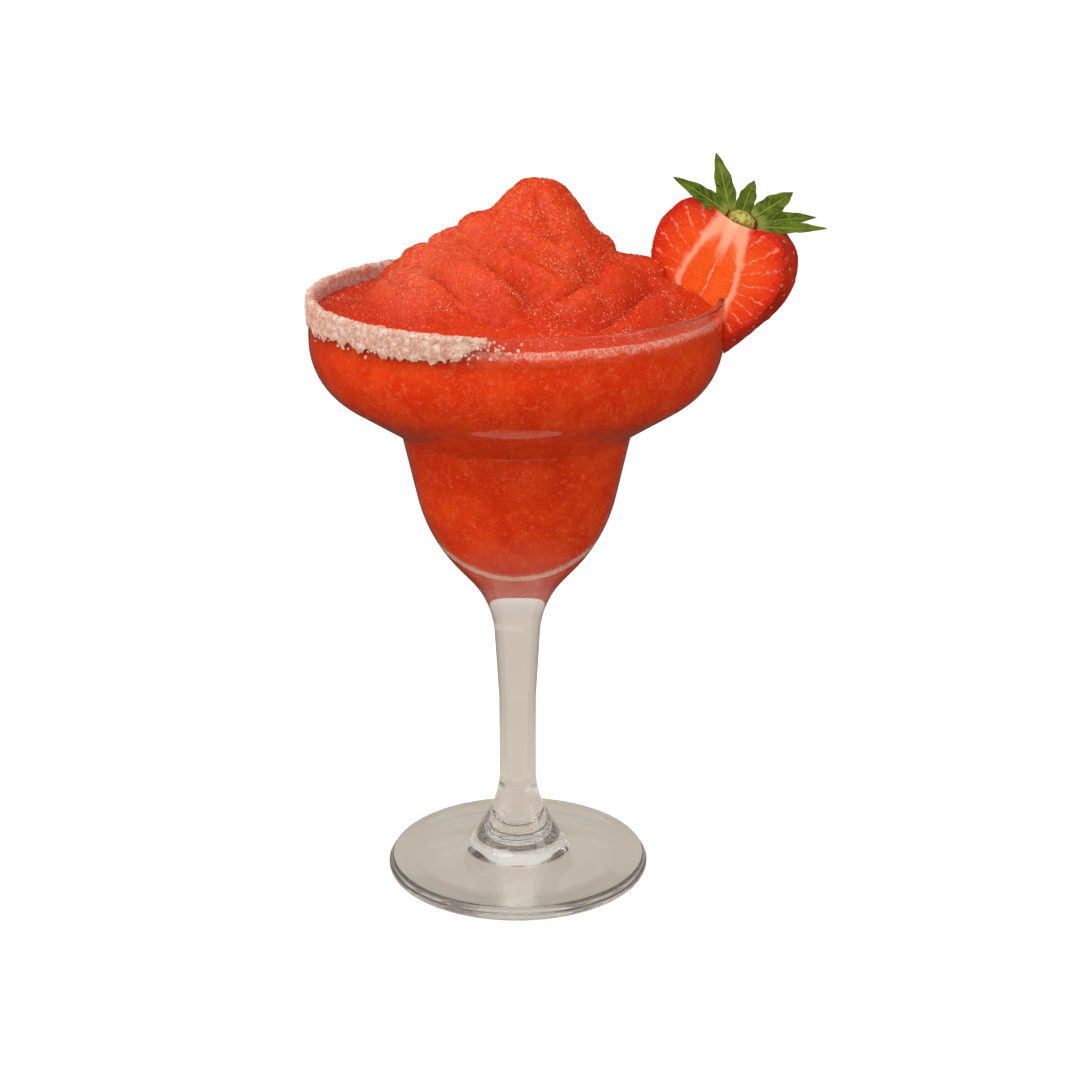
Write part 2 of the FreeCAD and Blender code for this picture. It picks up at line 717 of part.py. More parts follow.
def make_sepal(number, berry, tools):
    """One pointed leaf: an arched strip, trimmed to a leaf's outline."""
    name = f"sepal_{number}"
    bearing, pitch, length, width, lift = (getattr(s, f"{name}_{size}") for size in sepal_sizes)
    body = doc.addObject("PartDesign::Body", f"{name}_body")
    side = new_sketch(body, f"{name}_side", "XZ_Plane")
    chord = FreeCAD.Vector(length.value, 0, 0)
    rise = FreeCAD.Vector(0, value_of(s.sepal_thickness), 0)
    bow = 2 * math.atan(2 * s.sepal_arch.value / length.value)
    leaving = FreeCAD.Vector(math.cos(bow), math.sin(bow), 0)
    low, low_ends, _ = add_arc(side, FreeCAD.Vector(), leaving, chord)
    high, high_ends, _ = add_arc(side, rise, leaving, chord + rise)
    root = side.addGeometry(Part.LineSegment(FreeCAD.Vector(), rise), False)
    end = side.addGeometry(Part.LineSegment(chord, chord + rise), False)
    join(side, low, low_ends[0], root, 1)
    join(side, low, low_ends[1], end, 1)
    join(side, high, high_ends[0], root, 2)
    join(side, high, high_ends[1], end, 2)
    join(side, low, low_ends[0], -1, 1)
    side.addConstraint(Sketcher.Constraint("PointOnObject", low, low_ends[1], -1))
    side.addConstraint(Sketcher.Constraint("Vertical", root))
    side.addConstraint(Sketcher.Constraint("Vertical", end))
    measure(side, "DistanceX", -1, 1, end, 1, size=length)
    measure(side, "DistanceY", root, 1, root, 2, size=s.sepal_thickness)
    measure(side, "DistanceY", end, 1, end, 2, size=s.sepal_thickness)
    reach = length * length / 8 / s.sepal_arch + s.sepal_arch / 2
    measure(side, "Radius", low, size=reach)
    measure(side, "Radius", high, size=reach)
    pad = body.newObject("PartDesign::Pad", f"{name}_strip")
    pad.Profile = side
    pad.Midplane = True
    bind(pad, "Length", width * 2)
    doc.recompute()
    leaf = new_sketch(body, f"{name}_leaf", "XY_Plane")
    half_root = s.sepal_root_width / 2
    tip = FreeCAD.Vector(length.value, 0, 0)
    bulge = width / 2 - half_root / 2
    sweep = length * length / 8 / bulge + bulge / 2
    arcs = []
    for hand in (1, -1):
        start = FreeCAD.Vector(0, hand * value_of(half_root), 0)
        bow = 2 * math.atan(2 * bulge.value / length.value)
        lean = math.atan2(-start.y, length.value) + hand * bow
        leaving = FreeCAD.Vector(math.cos(lean), math.sin(lean), 0)
        arcs.append(add_arc(leaf, start, leaving, tip)[:2])
    (left, left_ends), (right, right_ends) = arcs
    join(leaf, left, left_ends[1], right, right_ends[1])
    for edge, ends in arcs:
        measure(leaf, "Radius", edge, size=sweep)
        leaf.addConstraint(Sketcher.Constraint("PointOnObject", edge, ends[0], -2))
    measure(leaf, "DistanceY", -1, 1, left, left_ends[0], size=half_root)
    measure(leaf, "DistanceY", right, right_ends[0], -1, 1, size=half_root)
    leaf.addConstraint(Sketcher.Constraint("PointOnObject", left, left_ends[1], -1))
    base = leaf.addGeometry(Part.LineSegment(point((0, half_root)), point((0, -half_root))), False)
    join(leaf, left, left_ends[0], base, 1)
    join(leaf, right, right_ends[0], base, 2)
    back = -s.sepal_trim
    front = length * 2
    far = width * 2
    add_polygon(leaf, [(back, -far), (front, -far), (front, far), (back, far)])
    pocket = body.newObject("PartDesign::Pocket", f"{name}_trim")
    pocket.Profile = leaf
    pocket.Type = 1
    pocket.Midplane = True
    spin = text_of(s.berry_cut_turn + bearing + 90)
    around = f"placement(vector(0; 0; 0); rotation(vector(0; 0; 1); {spin}))"
    root_place = f"vector({text_of(s.sepal_root)}; 0; {text_of(lift)})"
    lean = f"placement({root_place}; rotation(vector(0; 1; 0); {text_of(-pitch)}))"
    body.setExpression("Placement", f"{berry.Name}.Placement * {around} * {lean}")
    doc.recompute()
    return cut(body, tools, name)


# ---- the whole

glass = make_glass()
berry = make_berry()
strawberry = cut(berry, [make_slot()], "strawberry")
salt = make_salt()
drink = make_drink([strawberry, make_salt_room()])
cap = make_cap(berry, strawberry)
nodes = {
    "glass": glass,
    "frozen_drink": drink,
    "rim_salt": salt,
    "strawberry": strawberry,
    "calyx_cap": cap,
}
for number in range(1, len(sepals) + 1):
    nodes[f"sepal_{number}"] = make_sepal(number, berry, [strawberry, cap])
doc.recompute()

failed = [thing.Name for thing in doc.Objects if {"Invalid", "Error"} & set(thing.State)]
if failed:
    raise RuntimeError(f"these objects did not compute: {failed}")
for label, node in nodes.items():
    node.Label = label
    shape = node.Shape
    if shape.isNull() or not shape.isValid() or len(shape.Solids) != 1:
        raise RuntimeError(f"{label} is not one sound solid: {len(shape.Solids)}")
os.makedirs("parts", exist_ok=True)
for label, node in nodes.items():
    # The berry's faces of revolution go out as splines, because some readers trim them wrongly.
    shape = node.Shape.toNurbs() if label == "strawberry" else node.Shape
    box = shape.BoundBox
    shape.exportStep(f"parts/{label}.step")
    print(
        f"{label}: {shape.Volume / 1000:.2f} cm3,"
        f" X {box.XMin:.1f} to {box.XMax:.1f}, Y {box.YMin:.1f} to {box.YMax:.1f},"
        f" Z {box.ZMin:.1f} to {box.ZMax:.1f}"
    )
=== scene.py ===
import math
import random

import bmesh
import bpy
import numpy as np
from mathutils import Matrix, Vector
from mathutils.geometry import delaunay_2d_cdt


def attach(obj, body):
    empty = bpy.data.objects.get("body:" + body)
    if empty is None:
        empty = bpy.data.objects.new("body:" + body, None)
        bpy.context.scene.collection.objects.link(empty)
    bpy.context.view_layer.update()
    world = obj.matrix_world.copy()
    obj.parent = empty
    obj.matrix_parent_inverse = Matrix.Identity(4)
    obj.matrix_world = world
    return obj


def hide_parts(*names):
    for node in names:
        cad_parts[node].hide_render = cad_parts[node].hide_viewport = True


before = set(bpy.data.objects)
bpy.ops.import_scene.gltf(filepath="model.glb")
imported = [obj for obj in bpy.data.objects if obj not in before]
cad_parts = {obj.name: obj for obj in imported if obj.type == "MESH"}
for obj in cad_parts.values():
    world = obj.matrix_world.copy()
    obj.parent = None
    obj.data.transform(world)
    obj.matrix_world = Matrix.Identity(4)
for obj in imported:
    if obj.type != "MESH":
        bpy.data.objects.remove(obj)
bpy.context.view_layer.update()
mm = 0.001  # every size below is in millimetres
creaseAngle = math.radians(66)  # edges sharper than this stay sharp


# shader helpers: one wrapped socket, one way to add a node

def tone(red, green, blue):
    # a screen colour, 0-255, as the linear colour that the nodes take
    def straight(value):
        share = value / 255
        return share / 12.92 if share <= 0.04045 else ((share + 0.055) / 1.055) ** 2.4
    return (straight(red), straight(green), straight(blue), 1.0)


class Wire:
    # an output socket; sums on it add Math nodes
    def __init__(self, finish, socket):
        self.finish = finish
        self.socket = socket

    def maths(self, operation, *values):
        return self.finish.add("ShaderNodeMath", {"operation": operation},
                               dict(enumerate(values)))

    def __add__(self, other):
        return self.maths("ADD", self, other)

    def __radd__(self, other):
        return self.maths("ADD", other, self)

    def __sub__(self, other):
        return self.maths("SUBTRACT", self, other)

    def __rsub__(self, other):
        return self.maths("SUBTRACT", other, self)

    def __mul__(self, other):
        return self.maths("MULTIPLY", self, other)

    def __rmul__(self, other):
        return self.maths("MULTIPLY", other, self)

    def __truediv__(self, other):
        return self.maths("DIVIDE", self, other)

    def __rtruediv__(self, other):
        return self.maths("DIVIDE", other, self)

    def __pow__(self, other):
        return self.maths("POWER", self, other)

    def __abs__(self):
        return self.maths("ABSOLUTE", self)

    def sine(self):
        return self.maths("SINE", self)

    def above(self, low, high):
        # 0 below low, 1 above high, smooth between
        return self.finish.add("ShaderNodeMapRange", {"interpolation_type": "SMOOTHSTEP"},
                               {"Value": self, "From Min": low, "From Max": high})

    def below(self, low, high):
        return 1 - self.above(low, high)


class Finish:
    # one material, or the world, while its nodes are added
    def __init__(self, name, holder=None):
        self.holder = holder or bpy.data.materials.new(name)
        self.holder.use_nodes = True
        self.tree = self.holder.node_tree
        self.tree.nodes.clear()

    def add(self, kind, settings=None, sockets=None, output=0):
        node = self.tree.nodes.new(kind)
        for name, value in (settings or {}).items():
            setattr(node, name, value)
        for name, value in (sockets or {}).items():
            if isinstance(value, Wire):
                self.tree.links.new(value.socket, node.inputs[name])
            else:
                node.inputs[name].default_value = value
        return Wire(self, node.outputs[output]) if len(node.outputs) else None

    def place(self):
        # the piece's own coordinates, in millimetres
        spot = self.add("ShaderNodeTexCoord", output="Object")
        return self.add("ShaderNodeMapping", {}, {"Vector": spot, "Scale": [1 / mm] * 3})

    def marked(self, name, output="Vector"):
        # an attribute that the piece's mesh carries
        return self.add("ShaderNodeAttribute", {"attribute_name": name}, {}, output)

    def axis(self, where, output):
        return self.add("ShaderNodeSeparateXYZ", {}, {0: where}, output)

    def length(self, where):
        return self.add("ShaderNodeVectorMath", {"operation": "LENGTH"}, {0: where}, "Value")

    def path(self, output):
        return self.add("ShaderNodeLightPath", output=output)

    def noise(self, where, size, detail=2.0, rough=0.5):
        # size is the width of a blotch in millimetres
        return self.add("ShaderNodeTexNoise", {}, {"Vector": where, "Scale": 1 / size,
                                                   "Detail": detail, "Roughness": rough})

    def cells(self, where, size):
        return self.add("ShaderNodeTexVoronoi", {}, {"Vector": where, "Scale": 1 / size})

    def mix(self, share, first, second):
        return self.add("ShaderNodeMix", {"data_type": "RGBA"},
                        {0: share, 6: first, 7: second}, output=2)

    def bump(self, height, deep, strength=1.0, normal=None):
        # deep is how far the relief rises, in millimetres
        sockets = {"Height": height, "Distance": deep * mm, "Strength": strength}
        if normal is not None:
            sockets["Normal"] = normal
        return self.add("ShaderNodeBump", {}, sockets)

    def output(self, surface):
        self.add("ShaderNodeOutputMaterial", {}, {"Surface": surface})
        return self.holder

    def solid(self, sockets):
        return self.output(self.add("ShaderNodeBsdfPrincipled", {}, sockets))


# mesh helpers

def lumps(points, size, seed):
    # smooth blotchy noise, -1 to 1, at points in millimetres
    spot = np.asarray(points, float) / size
    corner = np.floor(spot).astype(np.int64)
    part = spot - corner
    part = part * part * part * (part * (part * 6 - 15) + 10)
    total = np.zeros(len(spot))
    for dx in (0, 1):
        for dy in (0, 1):
            for dz in (0, 1):
                code = ((corner[:, 0] + dx) * 73856093 ^ (corner[:, 1] + dy) * 19349663
                        ^ (corner[:, 2] + dz) * 83492791 ^ seed * 40503) & 0xFFFFFFFF
                code = ((code ^ (code >> 15)) * 2246822519) & 0xFFFFFFFF
                code = ((code ^ (code >> 13)) * 3266489917) & 0xFFFFFFFF
                value = ((code ^ (code >> 16)) & 0xFFFF) / 32767.5 - 1
                weight = np.abs(1 - dx - part[:, 0]) * np.abs(1 - dy - part[:, 1])
                total += value * weight * np.abs(1 - dz - part[:, 2])
    return total


def smoothStep(value, low, high):
    share = np.clip((value - low) / (high - low), 0, 1)
    return share * share * (3 - 2 * share)


def roundedRun(corners, fineness=0.35):
    # (across, up, radius) corners to a line of points with rounded corners
    run = []
    for index, (across, up, radius) in enumerate(corners):
        here = Vector((across, up))
        if radius == 0 or index in (0, len(corners) - 1):
            run.append(here)
            continue
        back = (Vector(corners[index - 1][:2]) - here).normalized()
        ahead = (Vector(corners[index + 1][:2]) - here).normalized()
        half = back.angle(ahead) / 2
        centre = here + (back + ahead).normalized() * radius / math.sin(half)
        start = here + back * radius / math.tan(half) - centre
        finish = here + ahead * radius / math.tan(half) - centre
        turn = math.atan2(start.x * finish.y - start.y * finish.x, start.dot(finish))
        steps = max(3, math.ceil(abs(turn) * radius / fineness / 2), math.ceil(abs(turn) / 0.16))
        for step in range(steps + 1):
            angle = turn * step / steps
            run.append(centre + Vector((start.x * math.cos(angle) - start.y * math.sin(angle),
                                        start.x * math.sin(angle) + start.y * math.cos(angle))))
    return run


def filledRun(run, longest):
    # the same line with no step longer than longest
    filled = [run[0]]
    for point in run[1:]:
        steps = max(1, math.ceil((point - filled[-1]).length / longest))
        start = filled[-1]
        filled += [start.lerp(point, (step + 1) / steps) for step in range(steps)]
    return filled


def turned(run, around):
    # a line from pole to pole turned about the upright axis; returns points and faces
    points = []
    faces = []
    rows = []
    for across, up in run:
        if across < 1e-6:
            rows.append([len(points)] * around)
            points.append((0, 0, up))
            continue
        rows.append(list(range(len(points), len(points) + around)))
        for step in range(around):
            angle = 2 * math.pi * step / around
            points.append((across * math.cos(angle), across * math.sin(angle), up))
    for low, high in zip(rows, rows[1:]):
        for step in range(around):
            after = (step + 1) % around
            face = [low[step], low[after], high[after], high[step]]
            faces.append(tuple(dict.fromkeys(face)))
    return points, faces


def tubeFaces(rings, count):
    # the quads between closed rings of count points each
    return [(ring * count + step, (ring + 1) * count + step,
             (ring + 1) * count + (step + 1) % count, ring * count + (step + 1) % count)
            for ring in range(rings - 1) for step in range(count)]


def put(name, data):
    item = bpy.data.objects.new(name, data)
    bpy.context.scene.collection.objects.link(item)
    return item


def makePiece(name, points, faces, finishes, stands=(), slotOfFace=None):
    mesh = bpy.data.meshes.new(name)
    mesh.from_pydata([tuple(c * mm for c in point) for point in points], [], faces)
    for finish in finishes:
        mesh.materials.append(finish)
    if slotOfFace is not None:
        mesh.polygons.foreach_set("material_index", slotOfFace)
    mesh.polygons.foreach_set("use_smooth", [True] * len(mesh.polygons))
    mesh.update()
    mesh.set_sharp_from_angle(angle=creaseAngle)
    return settle(put(name, mesh), stands)


def settle(piece, stands=()):
    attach(piece, "root")
    if stands:
        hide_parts(*stands)
    return piece


def numbersOn(mesh, name, values, kind="FLOAT"):
    # a value at each point, for materials and scatter trees
    attribute = mesh.attributes.new(name, kind, "POINT")
    field = "value" if kind == "FLOAT" else "vector"
    attribute.data.foreach_set(field, np.asarray(values, np.float32).ravel())


def chip(name, roughness, seed, scale=(1, 1, 1), square=False):
    # one small irregular grain of about unit width, used only as a scatter shape
    draw = random.Random(seed)
    shape = bmesh.new()
    if square:
        bmesh.ops.create_cube(shape, size=0.9)
    else:
        bmesh.ops.create_icosphere(shape, subdivisions=1, radius=0.5)
    for point in shape.verts:
        for axis in range(3):
            point.co[axis] = (point.co[axis] + draw.uniform(-1, 1) * roughness) * scale[axis]
    mesh = bpy.data.meshes.new(name)
    shape.to_mesh(mesh)
    shape.free()
    return bpy.data.objects.new(name, mesh)


def growTree(name, sockets):
    # a Geometry Nodes tree with named sockets, and the way to add a node to it
    tree = bpy.data.node_groups.new(name, "GeometryNodeTree")
    for label, kind, way in sockets:
        tree.interface.new_socket(name=label, in_out=way, socket_type="NodeSocket" + kind)

    def add(kind, settings=None, sockets=None):
        node = tree.nodes.new(kind)
        for key, value in (settings or {}).items():
            setattr(node, key, value)
        for key, value in (sockets or {}).items():
            if isinstance(value, bpy.types.NodeSocket):
                tree.links.new(value, node.inputs[key])
            else:
                node.inputs[key].default_value = value
        return node

    return tree, add


def scatterTree(name, shape, finish, sizes, perSquareMm, seed):
    # grains on a surface, thicker where the surface's "share" is high
    tree, add = growTree(name, [("Surface", "Geometry", "INPUT"),
                                ("Grains per square metre", "Float", "INPUT"),
                                ("Smallest", "Float", "INPUT"), ("Largest", "Float", "INPUT"),
                                ("Seed", "Int", "INPUT"), ("Grains", "Geometry", "OUTPUT")])
    given = add("NodeGroupInput").outputs
    share = add("GeometryNodeInputNamedAttribute", {"data_type": "FLOAT"}, {"Name": "share"})
    density = add("ShaderNodeMath", {"operation": "MULTIPLY"},
                  {0: share.outputs[0], 1: given["Grains per square metre"]})
    spread = add("GeometryNodeDistributePointsOnFaces", {},
                 {"Mesh": given["Surface"], "Density": density.outputs[0],
                  "Seed": given["Seed"]})
    turn = add("FunctionNodeRandomValue", {"data_type": "FLOAT_VECTOR"},
               {0: (0, 0, 0), 1: (6.28, 6.28, 6.28), "Seed": given["Seed"]})
    width = add("FunctionNodeRandomValue", {"data_type": "FLOAT"},
                {2: given["Smallest"], 3: given["Largest"], "Seed": given["Seed"]})
    grain = add("GeometryNodeObjectInfo", {}, {"Object": shape})
    turnOf = add("FunctionNodeEulerToRotation", {}, {0: turn.outputs[0]})
    copies = add("GeometryNodeInstanceOnPoints", {},
                 {"Points": spread.outputs["Points"], "Instance": grain.outputs["Geometry"],
                  "Rotation": turnOf.outputs[0], "Scale": width.outputs[1]})
    luck = add("FunctionNodeRandomValue", {"data_type": "FLOAT"}, {2: 0.0, 3: 1.0, "Seed": 7})
    marked = add("GeometryNodeStoreNamedAttribute", {"data_type": "FLOAT", "domain": "INSTANCE"},
                 {"Geometry": copies.outputs[0], "Name": "luck", "Value": luck.outputs[1]})
    real = add("GeometryNodeRealizeInstances", {}, {"Geometry": marked.outputs[0]})
    painted = add("GeometryNodeSetMaterial", {}, {"Geometry": real.outputs[0],
                                                  "Material": finish})
    add("NodeGroupOutput", {}, {"Grains": painted.outputs[0]})
    values = {"Grains per square metre": perSquareMm / mm / mm, "Smallest": sizes[0] * mm,
              "Largest": sizes[1] * mm, "Seed": seed}
    return tree, values


def scattered(name, surface, tree, values):
    # runs the tree on a copy of the surface and keeps a plain mesh
    carrier = put(name + ".carrier", surface)
    modifier = carrier.modifiers.new("scatter", "NODES")
    modifier.node_group = tree
    for item in tree.interface.items_tree:
        if item.in_out == "INPUT" and item.name in values:
            modifier[item.identifier] = values[item.name]
    bpy.context.view_layer.update()
    ready = carrier.evaluated_get(bpy.context.evaluated_depsgraph_get())
    mesh = bpy.data.meshes.new_from_object(ready)
    mesh.name = name
    bpy.data.objects.remove(carrier)
    piece = put(name, mesh)
    print(name, "triangles", sum(len(face.vertices) - 2 for face in mesh.polygons))
    return settle(piece)


# glass

wallInside, wallOutside, rimUp = 54.4, 56.0, 169.4  # the wall at the rim, and its height

glassPlan = {
    # (across, up, radius of the round there), from the axis to the rim and down inside
    "outside": [(0, 1.6, 0), (27, 0, 0), (37.5, 0, 1.7), (37.5, 2.6, 0.6), (36.7, 2.6, 0),
                (36.7, 4.0, 1.0), (13.6, 6.9, 6.5), (5.2, 23.2, 26), (5.2, 52, 0),
                (6.94, 81.3, 27), (24.94, 101.4, 45), (31.7, 131.5, 2.3), (wallOutside, 146.9, 19),
                (wallOutside, rimUp, 0.7)],
    "inside": [(wallInside, rimUp, 0.7), (wallInside, 147.78, 17.4), (30.28, 132.5, 3.9),
               (23.47, 102.16, 43.4), (15.9, 93.7, 0)],
    "floorRadius": 15.9,
    "floorRound": 26.9,
    "floorCentre": 115.39,
    "around": 200, "step": 1.6,
    "straightThrough": 0.1,     # share of the light that passes unbent
}


def floorRun(grow=0.0, steps=16):
    # the bowl-shaped bottom of the hollow, from its edge to the axis
    radius = glassPlan["floorRound"] + grow
    edge = math.asin(glassPlan["floorRadius"] / glassPlan["floorRound"])
    return [Vector((radius * math.sin(edge * (1 - step / steps)),
                    glassPlan["floorCentre"] - radius * math.cos(edge * (1 - step / steps))))
            for step in range(steps + 1)]


def makeGlassFinish():
    finish = Finish("clearGlass")
    where = finish.place()
    ripple = finish.noise(where, 9.0, 1.0)
    clear = finish.add("ShaderNodeBsdfPrincipled", {}, {
        "Base Color": (0.985, 0.985, 0.975, 1), "Roughness": 0.0, "IOR": 1.5,
        "Transmission Weight": 1.0, "Normal": finish.bump(ripple, 0.02)})
    shadow = finish.path("Is Shadow Ray")
    through = finish.add("ShaderNodeBsdfTransparent", {}, {"Color": (0.97, 0.97, 0.96, 1)})
    unbent = glassPlan["straightThrough"]
    share = shadow + unbent - shadow * unbent
    return finish.output(finish.add("ShaderNodeMixShader", {}, {0: share, 1: clear, 2: through}))


def makeGlass():
    wall = filledRun(roundedRun(glassPlan["outside"] + glassPlan["inside"]), glassPlan["step"])
    run = wall + floorRun()[1:]
    points, faces = turned(run, glassPlan["around"])
    return makePiece("stemGlass", points, faces, [makeGlassFinish()], ["glass"])


makeGlass()
print("glass made")


# slush: what fills the glass, and the heap on top

slushPlan = {
    "fill": 165.7,        # where the heap meets the wall
    "join": 162.0,        # the two pieces meet here, out of sight
    "intoWall": 0.12,     # so that no air shows between slush and glass
    "intoSide": 0.75,     # the same on the walls, where the slush looks right up to the outline
    "sideFrom": (94, 100), "sideTo": (155, 161.5),     # heights between which it goes that far
    "iceReach": 54.2,
    "across": 300,        # points across the heap
    "dome": 14.5,
    # places and widths are shares of the inner radius
    "peak": (0.11, 0.03, 19.6, 15.2, 2.8),     # east, north, rise and width in mm, squareness
    "hollow": (-0.82, 0.15, 7.0, 0.20, 0.45),     # east, north, depth in mm, widths
    "lowest": -0.2,
    "folds": (6.0, 0.42), "drips": (2.6, 0.34),     # width and height of the unevenness
    "granules": [(1.3, 0.17), (0.8, 0.18), (0.45, 0.09)],
    "around": 220, "step": 1.4, "lidInner": 27,
    "rimFrost": (163.3, 165.0), "rimRagged": 3.4,
    "footFrostAndGlint": (92.9, 93.7, 94.6, 95.5), "footRagged": 1.3, "footBend": 0.015,
    "colours": {
        "deep": tone(212, 53, 9), "lit": tone(223, 70, 18), "blotch": tone(234, 100, 56),
        "grain": tone(242, 148, 112), "speckle": tone(246, 156, 118),
        # the paler upper-left colour is a painted highlight; the low red is a painted shade
        "paintedLeftSheen": tone(242, 158, 124), "low": tone(198, 38, 6),
        # the floor-edge colour is a painted highlight with frost speckle
        "rimFrost": tone(236, 176, 156), "footFrostAndGlint": tone(240, 214, 198)},
}

# bearing, reach, half length, half width, heading, foot, rise, softness
slushFolds = [
    (-72, .26, .42, .25, 100, 9, 10.5, 3.0), (-115, .48, .40, .19, 118, 6, 10.5, 3.0),
    (-138, .60, .36, .27, 112, 2.5, 11.0, 3.0), (-51, .40, .070, .065, 0, 14, 5.6, 1.6),
    (-40, .61, .090, .085, 30, 8, 6.2, 1.6), (-64, .73, .100, .070, 20, 5.5, 5.2, 1.6),
    (-40, .80, .26, .13, 52, 2, 6.2, 2.5), (1, .58, .15, .12, 0, 8, 5.2, 4.0),
    (150, .16, .15, .14, 40, 20, 5.0, 5.0), (168, .28, .17, .15, 60, 15, 5.5, 5.0),
    (176, .42, .20, .16, 80, 11, 5.5, 5.0), (22, .36, .17, .13, -40, 14, 5.0, 5.0),
    (140, .52, .30, .18, 20, 4.5, 6.5, 4.0), (95, .52, .34, .17, -12, 5, 9.0, 3.0),
    (52, .62, .28, .16, -50, 2.5, 8.0, 4.0), (-92, .84, .16, .07, 8, .8, 3.0, 2.0),
    (-160, .50, .28, .15, 120, 6, 5.2, 3.0), (200, .30, .22, .16, 110, 13, 5.0, 4.0),
]

# creases where one fold lies over the next: depth, width, swell of the upper lip, and the
# way it runs in millimetres
slushCreases = [
    (3.4, 1.4, 2.2, [(-27, -12), (-22, -21), (-16, -30), (-10.6, -38), (-4, -43), (3, -45.5)]),
    (3.7, 1.3, 2.5, [(-10, -13), (-8, -19), (-4, -27), (0, -32), (6, -35), (12, -33)]),
    (2.5, 1.1, 1.2, [(-4, -11), (1, -15), (5, -18), (9, -19), (14, -22)]),
    (3.2, 2.0, 1.4, [(6, -35), (14.5, -41), (20, -40.5), (27, -34), (33, -20), (36, -2)]),
    (2.1, 1.5, 1.0, [(4, -4), (8, -9), (12, -13), (16, -14), (22, -12)]),
    (1.7, 1.2, 1.0, [(-37, -10), (-33, -17), (-29, -25), (-25, -33)]),
    (1.6, 1.8, 1.0, [(-12, 6), (-4, 16), (8, 20), (20, 15)]),
    (1.8, 1.8, 1.2, [(-30, 14), (-16, 28), (2, 34), (20, 31), (33, 20)]),
]


def creaseDrop(east, north):
    # how much the creases take off or add, at places in millimetres
    drop = np.zeros(len(east))
    for depth, width, lip, path in slushCreases:
        best = np.full(len(east), 1e9)
        sideOf = np.zeros(len(east))
        travelled = np.zeros(len(east))
        lengths = [math.dist(a, b) for a, b in zip(path, path[1:])]
        done = 0.0
        for (x1, y1), (x2, y2), length in zip(path, path[1:], lengths):
            share = ((east - x1) * (x2 - x1) + (north - y1) * (y2 - y1)) / length ** 2
            share = np.clip(share, 0, 1)
            gap = np.hypot(east - x1 - share * (x2 - x1), north - y1 - share * (y2 - y1))
            side = (x2 - x1) * (north - y1) - (y2 - y1) * (east - x1)
            nearer = gap < best
            best = np.where(nearer, gap, best)
            sideOf = np.where(nearer, np.sign(side), sideOf)
            travelled = np.where(nearer, (done + share * length) / sum(lengths), travelled)
            done += length
        fade = smoothStep(travelled, 0.0, 0.2) * (1 - smoothStep(travelled, 0.8, 1.0))
        signed = best * sideOf
        cutIn = np.exp(-(np.where(signed > 0, signed * 1.5, signed * 0.8) / width) ** 2)
        swell = np.exp(-((signed - width * 2.4) / (width * 1.9)) ** 2)
        drop += fade * (lip * swell - depth * cutIn)
    return drop


def heapRise(east, north):
    # height over the fill line at places given in shares of the inner radius
    sizes = slushPlan
    reach = np.hypot(east, north)
    peakEast, peakNorth, peakRise, peakWidth, square = sizes["peak"]
    height = sizes["dome"] * (1 - np.minimum(reach, 1) ** 2.4)
    fromPeak = np.hypot(east - peakEast, north - peakNorth) / (peakWidth / wallInside)
    height += peakRise * np.exp(-fromPeak ** square)
    hollowEast, hollowNorth, depth, wide, deep = sizes["hollow"]
    height -= depth * np.exp(-((east - hollowEast) / wide) ** 2
                             - ((north - hollowNorth) / deep) ** 2)
    for bearing, away, long, wide, heading, foot, rise, softness in slushFolds:
        middleEast = away * math.cos(math.radians(bearing))
        middleNorth = away * math.sin(math.radians(bearing))
        turn = math.radians(heading)
        fromEast, fromNorth = east - middleEast, north - middleNorth
        along = (fromEast * math.cos(turn) + fromNorth * math.sin(turn)) / long
        aside = (fromNorth * math.cos(turn) - fromEast * math.sin(turn)) / wide
        inside = 1 - along ** 2 - aside ** 2
        fold = foot + rise * np.sqrt(np.maximum(inside, 0))
        overlap = np.maximum(0, softness - np.abs(fold - height))
        joined = np.maximum(fold, height) + overlap ** 2 / (4 * softness)
        height = np.where(inside > 0, np.maximum(joined, height), height)
    return np.maximum(height + creaseDrop(east * wallInside, north * wallInside), sizes["lowest"])


def heapGrid(count):
    # a square grid drawn onto a disc, so that its cells stay even
    side = np.linspace(-1, 1, count)
    first, second = np.meshgrid(side, side, indexing="ij")
    wide = np.abs(first) > np.abs(second)
    safeFirst = np.where(first == 0, 1e-9, first)
    safeSecond = np.where(second == 0, 1e-9, second)
    angle = np.where(wide, math.pi / 4 * second / safeFirst,
                     math.pi / 2 - math.pi / 4 * first / safeSecond)
    radius = np.where(wide, first, second)
    return radius * np.cos(angle), radius * np.sin(angle)


